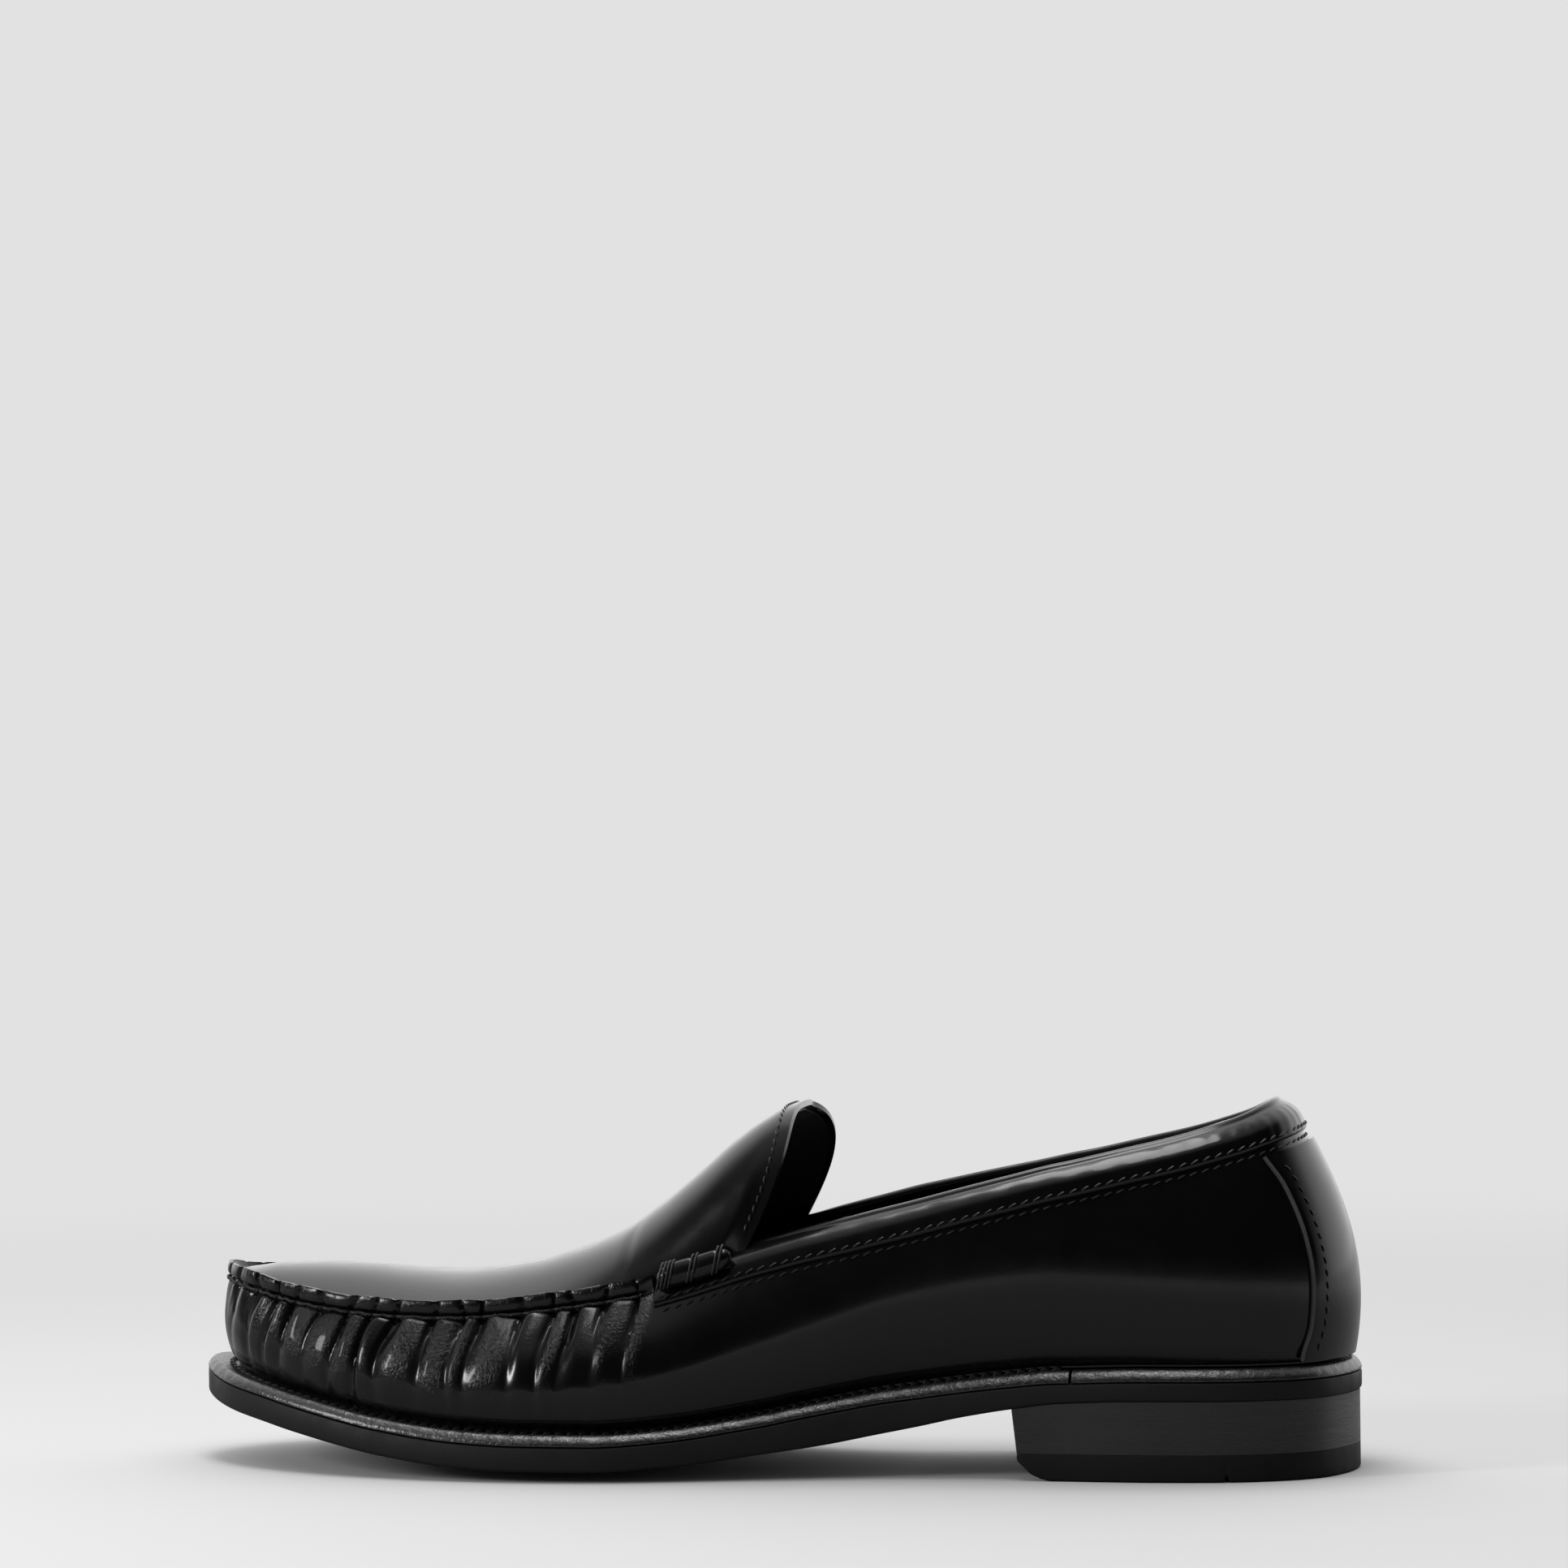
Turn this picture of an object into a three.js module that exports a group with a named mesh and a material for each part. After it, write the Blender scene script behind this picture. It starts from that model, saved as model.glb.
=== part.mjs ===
// A left men's loafer with a gathered moccasin toe, modelled as the separate pieces a shoemaker joins.
// Millimetres, +Z up, toe towards -X, outer (lateral) side towards -Y, medial side towards +Y.
// u runs forward from the back of the heel, v runs sideways; X = OUTSOLE_LENGTH / 2 - u and Y = v.

import * as THREE from "three";
import { toCreasedNormals } from "three/addons/utils/BufferGeometryUtils.js";

// ---------------------------------------------------------------- driving dimensions

const OUTSOLE_LENGTH = 300;
const BALL_WIDTH = 97.5;
const HEEL_HEIGHT = 20;
const TOE_SPRING = 21;
const BACK_WALL_HEIGHT = 64.6;

const GAP = 0.3;
const FOREPART_SOLE = 6.2;
const HEEL_SEAT_SOLE = 4.8;
const WAIST_THICKENING = 2.1;
const WELT_THICKNESS = 3.0;
const WELT_BEVEL = 1.4;
const LASTING_WIDTH = 9;

const WALL_THICKNESS = 1.6;
const APRON_THICKNESS = 1.5;
const LINING_THICKNESS = 1.0;
const APRON_LINING_THICKNESS = 0.8;
const STIFFENER_THICKNESS = 1.2;
const INSOLE_THICKNESS = 2.4;
const SOCK_THICKNESS = 0.9;

const RIDGE_HEIGHT = 4.3;
const ROLL_DROP = 5.0;
const ROLL_HALF_WIDTH = 2.9;
const ROLL_HALF_HEIGHT = 3.4;

const LINING_EASE = 0.4;
const BINDING_THICKNESS = 0.9;
const BINDING_OUTER_LEG = 8.2;
const COLLAR_ROW_OFFSET = 1.2;
const BINDING_INNER_LEG = 5.0;
const STRAP_THICKNESS = 1.2;

const HEEL_BREAST = 84.3;
const BREAST_RAKE = 0.3;
const LIFT_COUNT = 4;
const TOP_LIFT_THICKNESS = 6.8;
const HEEL_INSET = 0.5;

const THREAD_RADIUS = 0.4;
const WELT_JOINT = 69.7;

// ---------------------------------------------------------------- shape of the last

const REFERENCE_LENGTH = 300;
const REFERENCE_BALL = 97.5;
const REFERENCE_BACK = 64.6;
const alongScale = OUTSOLE_LENGTH / REFERENCE_LENGTH;
const acrossScale = BALL_WIDTH / REFERENCE_BALL;
const wallScale = BACK_WALL_HEIGHT / REFERENCE_BACK;

// One row per station, from the middle of the heel along the lateral side to the toe and back along
// the medial side: sole edge u and v, welt margin, upper's top edge u and v, wall height, wall swell.
const STATIONS = [
  [0, 0, 3.2, 18.5, 0, 64.6, 7.0],
  [7, -21, 3.2, 21, -13, 63.3, 6.6],
  [24, -32, 3.4, 31, -21.5, 59.5, 6.0],
  [48, -35.5, 3.6, 50, -27, 54.4, 5.5],
  [80, -34.5, 3.8, 80, -30.5, 48.7, 5.2],
  [115, -35, 4.2, 115, -31.5, 44.4, 5.6],
  [150, -41, 5.0, 149, -31, 42.7, 6.5],
  [185, -47.5, 5.8, 182, -30, 37.2, 7.5],
  [215, -47.5, 6.2, 212, -29, 32.8, 7.5],
  [245, -41.5, 6.4, 241, -27, 29.5, 6.0],
  [270, -31, 6.6, 266, -21, 27.5, 4.8],
  [290.5, -15.5, 6.8, 284.5, -11, 27.2, 3.6],
  [300, 5, 7.0, 292.5, 4, 26.5, 3.0],
  [293, 25.5, 6.8, 286, 19, 27.0, 3.6],
  [272, 41, 6.6, 266, 29, 27.6, 4.8],
  [245, 47, 6.2, 243, 32, 30.2, 6.5],
  [215, 50, 5.8, 214, 34, 33.4, 7.5],
  [182, 45, 5.2, 184, 33, 38.0, 7.5],
  [150, 33, 4.4, 150, 31.5, 42.7, 6.0],
  [118, 27, 3.8, 117, 31, 44.9, 5.0],
  [80, 31.5, 3.6, 80, 29.5, 48.0, 4.8],
  [48, 34.5, 3.6, 50, 26.5, 53.7, 5.2],
  [24, 31, 3.4, 31, 21, 59.1, 5.8],
  [7, 20.5, 3.2, 21, 13, 63.3, 6.6],
];
const TOE = 12;
const ROUND = 24;

// Rise of the sole's underside as a share of the heel height, and as a share of the toe spring.
const HEEL_RISE = [
  [-20, 1], [0, 1], [50, 1], [72, 0.965], [85, 0.885], [96.5, 0.785], [108, 0.645], [119, 0.52],
  [132, 0.378], [146, 0.257], [170, 0.07], [190, 0], [310, 0],
];
const TOE_RISE = [
  [-20, 0], [206, 0], [222, 0.024], [245, 0.143], [268, 0.371], [285, 0.59], [300, 0.829], [310, 1],
];
// Share of the extra thickness that the sole has under the waist.
const WAIST = [
  [-20, 0], [66, 0], [85, 0.3], [97, 0.5], [108, 0.81], [120, 1], [129, 0.95], [137, 0.76], [147, 0.36],
  [160, 0.15], [178, 0], [310, 0],
];
// Height by which the sole's edges stand above its centre line.
const CROWN = [
  [-20, 0], [90, 0], [120, 0.8], [150, 1.8], [180, 2.6], [210, 2.8], [250, 3], [275, 2.2], [300, 0], [310, 0],
];
// Height of the apron's centre line above the feather line's level.
const CREST = [
  [143.5, 76.7], [149, 74.5], [157, 70.1], [167, 63.4], [177, 56.5], [187.4, 50.1],
  [197.5, 45.7], [213, 41.1], [232, 37.6], [255, 35.3], [279, 29.7], [289, 25.5], [296, 23],
];

// Stations used round the upper; the close ones beside 6.1, 6.8, 17.4 and 18.1 are the ends of the side
// rolls and of the collar.
const LATERAL = [
  0, 1 / 3, 2 / 3, 1, 4 / 3, 5 / 3, 2, 7 / 3, 8 / 3, 3, 3.5, 4, 4.5, 5, 5.5, 6.01, 6.07, 6.15, 6.45, 6.76,
  6.83, 7.15, 7.5, 8, 8.5, 9, 28 / 3, 29 / 3, 10, 31 / 3, 32 / 3, 11, 34 / 3, 35 / 3, 12,
];
const MEDIAL = [
  12, 37 / 3, 38 / 3, 13, 40 / 3, 41 / 3, 14, 43 / 3, 44 / 3, 15, 15.5, 16, 16.5, 17, 17.38, 17.45,
  17.75, 18.06, 18.14, 18.2, 18.5, 19, 19.5, 20, 20.5, 21, 64 / 3, 65 / 3, 22, 67 / 3, 68 / 3, 23, 70 / 3,
  71 / 3, 24,
];
// Station of the strap's side edge at shares of the wall's height, and its stitches' distance inside it.
const STRAP_EDGE = [
  [0, 1.33], [0.15, 1.2], [0.35, 1.15], [0.5, 1.18], [0.7, 1.31], [0.85, 1.56], [1, 1.8],
];
const STRAP_STITCH_INSET = 0.2;
// The strap ends as far below the lower collar row as that row is below the binding.
const STRAP_TOP_DROP = BINDING_OUTER_LEG + 2 * COLLAR_ROW_OFFSET;
const LATERAL_ROLL = { rear: 6.07, rearIn: 6.15, frontIn: 6.76, front: 6.83 };
const COLLAR_END = { lateral: 6.01, medial: 18.2 };
const MEDIAL_ROLL = { front: 17.38, frontIn: 17.45, rearIn: 18.06, rear: 18.14 };
// Stations of the flat layers under the foot, from the heel to the toe along one side.
const LAYER_STEPS = [
  0, 1 / 3, 2 / 3, 1, 4 / 3, 5 / 3, 2, 2.5, 3, 3.5, 4, 4.5, 5, 5.5, 6, 6.5, 7, 7.5, 8, 8.5, 9, 9.5, 10, 10.5,
  11, 34 / 3, 35 / 3, 12,
];

// ---------------------------------------------------------------- curves

function clamp(value, low, high) {
  return Math.min(high, Math.max(low, value));
}

function mix(a, b, share) {
  return a + (b - a) * share;
}

function smoothstep(low, high, value) {
  const share = clamp((value - low) / (high - low), 0, 1);
  return share * share * (3 - 2 * share);
}

// Smooth curve through a table of (x, y) that never overshoots its points.
function profile(table, x) {
  const last = table.length - 1;
  if (x <= table[0][0]) return table[0][1];
  if (x >= table[last][0]) return table[last][1];
  const k = table.findIndex((row) => row[0] > x) - 1;
  const secant = (i) => (table[i + 1][1] - table[i][1]) / (table[i + 1][0] - table[i][0]);
  const slope = (i) => {
    if (i === 0 || i === last) return 0;
    const before = secant(i - 1);
    const after = secant(i);
    return before * after <= 0 ? 0 : (2 * before * after) / (before + after);
  };
  const step = table[k + 1][0] - table[k][0];
  const f = (x - table[k][0]) / step;
  const f2 = f * f;
  const f3 = f2 * f;
  return (
    (2 * f3 - 3 * f2 + 1) * table[k][1] +
    (f3 - 2 * f2 + f) * step * slope(k) +
    (3 * f2 - 2 * f3) * table[k + 1][1] +
    (f3 - f2) * step * slope(k + 1)
  );
}

// Catmull-Rom value of one column of the station table at any place t round the shoe.
function column(t, index) {
  const wrapped = ((t % ROUND) + ROUND) % ROUND;
  const k = Math.floor(wrapped);
  const f = wrapped - k;
  const [a, b, c, d] = [-1, 0, 1, 2].map((shift) => STATIONS[(k + shift + ROUND) % ROUND][index]);
  const square = (2 * a - 5 * b + 4 * c - d) * f * f;
  const cube = (3 * b - a - 3 * c + d) * f ** 3;
  return 0.5 * (2 * b + (c - a) * f + square + cube);
}

function soleEdge(t) {
  return [column(t, 0) * alongScale, column(t, 1) * acrossScale];
}

// Direction in plan pointing from the sole's edge into the shoe.
function inward(t) {
  const ahead = soleEdge(t + 0.05);
  const behind = soleEdge(t - 0.05);
  const du = ahead[0] - behind[0];
  const dv = ahead[1] - behind[1];
  const length = Math.hypot(du, dv);
  return [-dv / length, du / length];
}

function inset(t, distance) {
  const [u, v] = soleEdge(t);
  const [nu, nv] = inward(t);
  return [u + nu * distance, v + nv * distance];
}

function feather(t, further = 0) {
  return inset(t, column(t, 2) + further);
}

function stationWhere(target, low, high) {
  let from = low;
  let to = high;
  const rising = soleEdge(high)[0] > soleEdge(low)[0];
  for (let step = 0; step < 40; step += 1) {
    const middle = (from + to) / 2;
    if (soleEdge(middle)[0] < target === rising) from = middle;
    else to = middle;
  }
  return (from + to) / 2;
}

// ---------------------------------------------------------------- heights of the bottom layers

const SIDE_SAMPLES = 96;
const lateralSide = [];
const medialSide = [];
for (let i = 0; i <= SIDE_SAMPLES; i += 1) {
  lateralSide.push(soleEdge((TOE * i) / SIDE_SAMPLES));
  medialSide.push(soleEdge(ROUND - (TOE * i) / SIDE_SAMPLES));
}

function sideAt(side, u) {
  const k = clamp(side.findIndex((point) => point[0] > u), 1, SIDE_SAMPLES);
  const f = clamp((u - side[k - 1][0]) / (side[k][0] - side[k - 1][0] || 1), 0, 1);
  return mix(side[k - 1][1], side[k][1], f);
}

function crown(u, v) {
  const lateral = sideAt(lateralSide, u);
  const medial = sideAt(medialSide, u);
  const half = Math.max((medial - lateral) / 2, 6);
  const share = clamp(Math.abs(v - (medial + lateral) / 2) / half, 0, 1);
  return profile(CROWN, u / alongScale) * share * share;
}

function undersideCentre(u) {
  const place = u / alongScale;
  return HEEL_HEIGHT * profile(HEEL_RISE, place) + TOE_SPRING * profile(TOE_RISE, place);
}

function soleThickness(u) {
  const place = u / alongScale;
  const plain = mix(HEEL_SEAT_SOLE, FOREPART_SOLE, clamp((place - 85) / 70, 0, 1));
  return plain + WAIST_THICKENING * profile(WAIST, place);
}

const underside = (u, v) => undersideCentre(u) + crown(u, v);
const outsoleTop = (u, v) => underside(u, v) + soleThickness(u);
const weltBottom = (u, v) => outsoleTop(u, v) + GAP;
const weltTop = (u, v) => weltBottom(u, v) + WELT_THICKNESS;
const featherLevel = (u, v) => weltTop(u, v) + GAP;
const insoleBottom = (u, v) => featherLevel(u, v) + WALL_THICKNESS + GAP;
const insoleTop = (u, v) => insoleBottom(u, v) + INSOLE_THICKNESS;
const sockBottom = (u, v) => insoleTop(u, v) + GAP;

function place(u, v, z) {
  return new THREE.Vector3(OUTSOLE_LENGTH / 2 - u, v, z);
}

function placeOn(point, level, rise = 0) {
  return place(point[0], point[1], level(point[0], point[1]) + rise);
}

// ---------------------------------------------------------------- surface of the upper's wall

function wallHeight(t) {
  return column(t, 5) * wallScale;
}

const dropBelowTop = (t, distance) => 1 - distance / wallHeight(t);

// Share of the way from the open collar (0) to the closed forepart (1).
function forepartShare(t) {
  if (t <= TOE) return smoothstep(COLLAR_END.lateral, LATERAL_ROLL.rear, t);
  return 1 - smoothstep(MEDIAL_ROLL.rear, COLLAR_END.medial, t);
}

// The swelling wall, before its top strip is turned upright.
function leaningWall(t, h) {
  const foot = feather(t);
  const footLevel = featherLevel(foot[0], foot[1]);
  const top = [column(t, 3) * alongScale, column(t, 4) * acrossScale];
  const normal = inward(t);
  const swell = column(t, 6) * Math.sin(Math.PI * Math.max(h, 0) ** 0.9);
  const u = mix(foot[0], top[0], h) - normal[0] * swell;
  const v = mix(foot[1], top[1], h) - normal[1] * swell;
  return place(u, v, footLevel + wallHeight(t) * h);
}

// Outer face of the wall; round the forepart its top strip stands upright as the ridge.
function wallSurface(t, h) {
  const ridgeFoot = dropBelowTop(t, RIDGE_HEIGHT);
  const leaning = leaningWall(t, h);
  const share = forepartShare(t);
  if (h <= ridgeFoot || share === 0) return leaning;
  const upright = leaningWall(t, ridgeFoot);
  upright.z += (h - ridgeFoot) * wallHeight(t);
  return leaning.lerp(upright, share);
}

// Point on the wall, sunk `depth` mm below the outer face and raised `rise` mm along the wall.
function wallPoint(t, h, depth = 0, rise = 0) {
  const point = wallSurface(t, h);
  const round = wallSurface(t + 0.04, h).sub(wallSurface(t - 0.04, h));
  const low = Math.max(h - 0.02, 0);
  const up = wallSurface(t, low + 0.04).sub(wallSurface(t, low)).normalize();
  const outward = new THREE.Vector3().crossVectors(round, up).normalize();
  const [nu, nv] = inward(t);
  if (outward.x * nu - outward.y * nv < 0) outward.negate();
  return point.addScaledVector(outward, -depth).addScaledVector(up, rise);
}

function inRoll(t) {
  const lateral = t >= LATERAL_ROLL.rearIn - 1e-6 && t <= LATERAL_ROLL.frontIn + 1e-6;
  const medial = t >= MEDIAL_ROLL.frontIn - 1e-6 && t <= MEDIAL_ROLL.rearIn + 1e-6;
  return lateral || medial;
}

function wallTop(t) {
  return inRoll(t) ? dropBelowTop(t, ROLL_DROP) : 1;
}

// How far a stiffener pushes the lining away from the wall at the heel and at the toe.
function stiffenedShare(t, h) {
  const u = column(t, 0);
  const zone = Math.max(1 - smoothstep(84, 104, u), smoothstep(225, 243, u), LINING_EASE);
  return zone * (1 - smoothstep(0.68, 0.84, h));
}

function liningDepth(t, h) {
  return WALL_THICKNESS + GAP + (STIFFENER_THICKNESS + GAP) * stiffenedShare(t, h);
}

// ---------------------------------------------------------------- building closed bodies

// Closed triangle mesh from loose triangles: equal corners are merged, collapsed triangles dropped.
class Body {
  constructor() {
    this.points = [];
    this.lookup = new Map();
    this.index = [];
  }

  corner(point) {
    const key = [point.x, point.y, point.z].map((value) => Math.round(value * 2000)).join(",");
    if (!this.lookup.has(key)) {
      this.lookup.set(key, this.points.length);
      this.points.push(point);
    }
    return this.lookup.get(key);
  }

  triangle(a, b, c) {
    const [i, j, k] = [this.corner(a), this.corner(b), this.corner(c)];
    if (i !== j && j !== k && k !== i) this.index.push(i, j, k);
  }

  quad(a, b, c, d) {
    this.triangle(a, b, c);
    this.triangle(a, c, d);
  }

  signedVolume() {
    let total = 0;
    for (let i = 0; i < this.index.length; i += 3) {
      const [a, b, c] = [0, 1, 2].map((shift) => this.points[this.index[i + shift]]);
      total += a.dot(new THREE.Vector3().crossVectors(b, c)) / 6;
    }
    return total;
  }

  geometry() {
    if (this.signedVolume() < 0) this.index.reverse();
    const flat = new Float32Array(this.points.length * 3);
    this.points.forEach((point, i) => point.toArray(flat, i * 3));
    const geometry = new THREE.BufferGeometry();
    geometry.setAttribute("position", new THREE.BufferAttribute(flat, 3));
    geometry.setIndex(this.index);
    return toCreasedNormals(geometry, 0.7);
  }
}

// Closed sheet between two grids of points; `loop` joins the last row of points to the first.
function slab(outer, inner, loop = false) {
  const body = new Body();
  const rows = outer.length;
  const last = outer[0].length - 1;
  const steps = loop ? rows : rows - 1;
  for (let i = 0; i < steps; i += 1) {
    const j = (i + 1) % rows;
    for (let k = 0; k < last; k += 1) {
      body.quad(outer[i][k], outer[i][k + 1], outer[j][k + 1], outer[j][k]);
      body.quad(inner[i][k], inner[j][k], inner[j][k + 1], inner[i][k + 1]);
    }
    body.quad(outer[i][0], outer[j][0], inner[j][0], inner[i][0]);
    body.quad(outer[i][last], inner[i][last], inner[j][last], outer[j][last]);
  }
  if (!loop) {
    for (let k = 0; k < last; k += 1) {
      body.quad(outer[0][k], inner[0][k], inner[0][k + 1], outer[0][k + 1]);
      body.quad(outer[rows - 1][k], outer[rows - 1][k + 1], inner[rows - 1][k + 1], inner[rows - 1][k]);
    }
  }
  return body.geometry();
}

// Flat layer under the foot: rows run across the shoe between matching points of the two sides.
const LAYER_COLUMNS = 4;
function layer(outline, low, high, lateralSteps, medialSteps) {
  const top = [];
  const bottom = [];
  lateralSteps.forEach((step, row) => {
    const left = outline(step);
    const right = outline(medialSteps[row]);
    const upper = [];
    const lower = [];
    for (let k = 0; k <= LAYER_COLUMNS; k += 1) {
      const u = mix(left[0], right[0], k / LAYER_COLUMNS);
      const v = mix(left[1], right[1], k / LAYER_COLUMNS);
      upper.push(place(u, v, high(u, v)));
      lower.push(place(u, v, low(u, v)));
    }
    top.push(upper);
    bottom.push(lower);
  });
  return slab(top, bottom);
}

function mirrored(steps) {
  return steps.map((step) => ROUND - step);
}

// Round thread through a run of points; `faces` gives the outward direction at each point.
const THREAD_SIDES = 5;
function thread(points, faces, radius = THREAD_RADIUS) {
  const body = new Body();
  const rings = points.map((point, i) => {
    const before = points[Math.max(i - 1, 0)];
    const after = points[Math.min(i + 1, points.length - 1)];
    const forward = new THREE.Vector3().subVectors(after, before).normalize();
    const side = new THREE.Vector3().crossVectors(forward, faces[i]).normalize();
    const away = new THREE.Vector3().crossVectors(side, forward).normalize();
    const ring = [];
    for (let k = 0; k < THREAD_SIDES; k += 1) {
      const angle = (2 * Math.PI * k) / THREAD_SIDES;
      const offset = new THREE.Vector3().addScaledVector(side, radius * Math.sin(angle));
      offset.addScaledVector(away, radius * Math.cos(angle));
      ring.push(offset.add(point));
    }
    return ring;
  });
  for (let i = 0; i + 1 < rings.length; i += 1) {
    for (let k = 0; k < THREAD_SIDES; k += 1) {
      const next = (k + 1) % THREAD_SIDES;
      body.quad(rings[i][k], rings[i + 1][k], rings[i + 1][next], rings[i][next]);
    }
  }
  const end = rings[rings.length - 1];
  for (let k = 1; k + 1 < THREAD_SIDES; k += 1) {
    body.triangle(rings[0][0], rings[0][k], rings[0][k + 1]);
    body.triangle(end[0], end[k + 1], end[k]);
  }
  return body.geometry();
}

// Thread lying on the wall, `drop` mm below the top edge, clear of whatever is `cover` mm thick there.
function wallThread(steps, drop, cover = 0) {
  const clear = -(cover + GAP + THREAD_RADIUS + 0.05);
  const points = steps.map((t) => wallPoint(t, dropBelowTop(t, drop), clear));
  const faces = steps.map((t, i) => points[i].clone().sub(wallPoint(t, dropBelowTop(t, drop))));
  return thread(points, faces);
}

// ---------------------------------------------------------------- sole and heel

const breastLateral = stationWhere(HEEL_BREAST * alongScale, 2, 6);
const breastMedial = stationWhere(HEEL_BREAST * alongScale, 22, 18);

// The outsole has a row of points on the heel breast, so it lies flat on the stack of lifts.
function outsole() {
  const behind = LAYER_STEPS.filter((t) => t < breastLateral - 0.05);
  const ahead = LAYER_STEPS.filter((t) => t > breastLateral + 0.25);
  const lateral = [...behind, breastLateral, ...ahead];
  const medial = [...mirrored(behind), breastMedial, ...mirrored(ahead)];
  return layer(soleEdge, underside, outsoleTop, lateral, medial);
}

// Welt cross-section along the given stations: bevelled outer edge, flat inside the feather line.
function weltStrip(steps) {
  const top = [];
  const bottom = [];
  steps.forEach((t) => {
    const edge = soleEdge(t);
    const shoulder = inset(t, WELT_BEVEL);
    const line = feather(t);
    const inside = feather(t, LASTING_WIDTH - 0.4);
    top.push([
      placeOn(edge, weltTop, -WELT_BEVEL),
      placeOn(shoulder, weltTop),
      placeOn(line, weltTop),
      placeOn(inside, weltTop),
    ]);
    bottom.push([edge, shoulder, line, inside].map((point) => placeOn(point, weltBottom)));
  });
  return slab(top, bottom);
}

const weltLateral = stationWhere(WELT_JOINT * alongScale, 2, 6);
const weltMedial = stationWhere(WELT_JOINT * alongScale, 22, 18);
const JOINT_SHIFT = 0.005;

function welt() {
  const lateral = LAYER_STEPS.filter((t) => t > weltLateral + 0.1);
  const medial = mirrored(LAYER_STEPS).reverse().filter((t) => t > TOE && t < weltMedial - 0.1);
  return weltStrip([weltLateral + JOINT_SHIFT, ...lateral, ...medial, weltMedial - JOINT_SHIFT]);
}

function heelRand() {
  const medial = mirrored(LAYER_STEPS).reverse().filter((t) => t > weltMedial + 0.1 && t < ROUND);
  const lateral = LAYER_STEPS.filter((t) => t < weltLateral - 0.1);
  const steps = [weltMedial + JOINT_SHIFT, ...medial, ...lateral.map((t) => t + ROUND)];
  return weltStrip([...steps, weltLateral + ROUND - JOINT_SHIFT]);
}


const heelOutline = (t) => inset(t, HEEL_INSET);

// Leather lifts between the top lift and the outsole; lift 1 is the one against the outsole, and each
// lift's front stands a little behind the one above it.
function heelLift(number) {
  const behind = LAYER_STEPS.filter((t) => t < breastLateral - 0.05);
  const floor = TOP_LIFT_THICKNESS + GAP;
  const level = (share) => (u, v) => mix(floor, underside(u, v), share);
  const bottom = level((LIFT_COUNT - number) / LIFT_COUNT);
  const above = level((LIFT_COUNT - number + 1) / LIFT_COUNT);
  const front = (HEEL_BREAST - BREAST_RAKE * (number - 1)) * alongScale;
  const lateral = [...behind, stationWhere(front, 2, 6)];
  const medial = [...mirrored(behind), stationWhere(front, 22, 18)];
  return layer(heelOutline, bottom, (u, v) => above(u, v) - GAP, lateral, medial);
}

// Wearing lift with its front lower edge rounded away.
const LIFT_FRONT = HEEL_BREAST - BREAST_RAKE * LIFT_COUNT;
const NOSE = [[0, 0], [LIFT_FRONT - 8.7, 0], [LIFT_FRONT - 3.3, 1.7], [LIFT_FRONT, 5]];
function topLift() {
  const behind = LAYER_STEPS.filter((t) => t <= 3.5);
  const places = NOSE.slice(1).map((row) => row[0] * alongScale);
  const lateral = [...behind, ...places.map((u) => stationWhere(u, 2, 6))];
  const medial = [...mirrored(behind), ...places.map((u) => stationWhere(u, 22, 18))];
  const nose = (u) => {
    const place = u / alongScale;
    const k = clamp(NOSE.findIndex((row) => row[0] > place), 1, NOSE.length - 1);
    const f = clamp((place - NOSE[k - 1][0]) / (NOSE[k][0] - NOSE[k - 1][0]), 0, 1);
    return mix(NOSE[k - 1][1], NOSE[k][1], f);
  };
  return layer(heelOutline, nose, () => TOP_LIFT_THICKNESS, lateral, medial);
}

// ---------------------------------------------------------------- inside the bottom

const cavityOutline = (t) => feather(t, LASTING_WIDTH + 0.4);
const cavityFloor = (u, v) => outsoleTop(u, v) + GAP;
const cavityRoof = (u, v) => insoleBottom(u, v) - GAP;

function forepartFiller() {
  const steps = LAYER_STEPS.filter((t) => t >= 6);
  return layer(cavityOutline, cavityFloor, cavityRoof, steps, mirrored(steps));
}

function heelFiller() {
  const steps = LAYER_STEPS.filter((t) => t <= 3);
  return layer(cavityOutline, cavityFloor, cavityRoof, steps, mirrored(steps));
}

const SHANK = { from: 60, to: 142, halfWidth: 6.5, thickness: 1.6, lift: 1.4 };
function shank() {
  const top = [];
  const bottom = [];
  for (let row = 0; row <= 8; row += 1) {
    const u = mix(SHANK.from, SHANK.to, row / 8) * alongScale;
    const centre = (sideAt(lateralSide, u) + sideAt(medialSide, u)) / 2;
    const half = SHANK.halfWidth * (row === 0 || row === 8 ? 0.6 : 1);
    const across = [-half, 0, half].map((shift) => centre + shift);
    bottom.push(across.map((v) => place(u, v, outsoleTop(u, centre) + SHANK.lift)));
    top.push(across.map((v) => place(u, v, outsoleTop(u, centre) + SHANK.lift + SHANK.thickness)));
  }
  return slab(top, bottom);
}

const INSOLE_INSET = WALL_THICKNESS + STIFFENER_THICKNESS + LINING_THICKNESS + 3 * GAP + 0.3;

function insoleBoard() {
  return layer((t) => feather(t, INSOLE_INSET), insoleBottom, insoleTop, LAYER_STEPS, mirrored(LAYER_STEPS));
}

function sockLiner() {
  const top = (u, v) => sockBottom(u, v) + SOCK_THICKNESS;
  return layer((t) => feather(t, INSOLE_INSET + 0.4), sockBottom, top, LAYER_STEPS, mirrored(LAYER_STEPS));
}

// ---------------------------------------------------------------- upper

const BACK_SEAM = 0.008;
const clearOfMargin = (t) => (WALL_THICKNESS + 1.8) / wallHeight(t);

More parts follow.
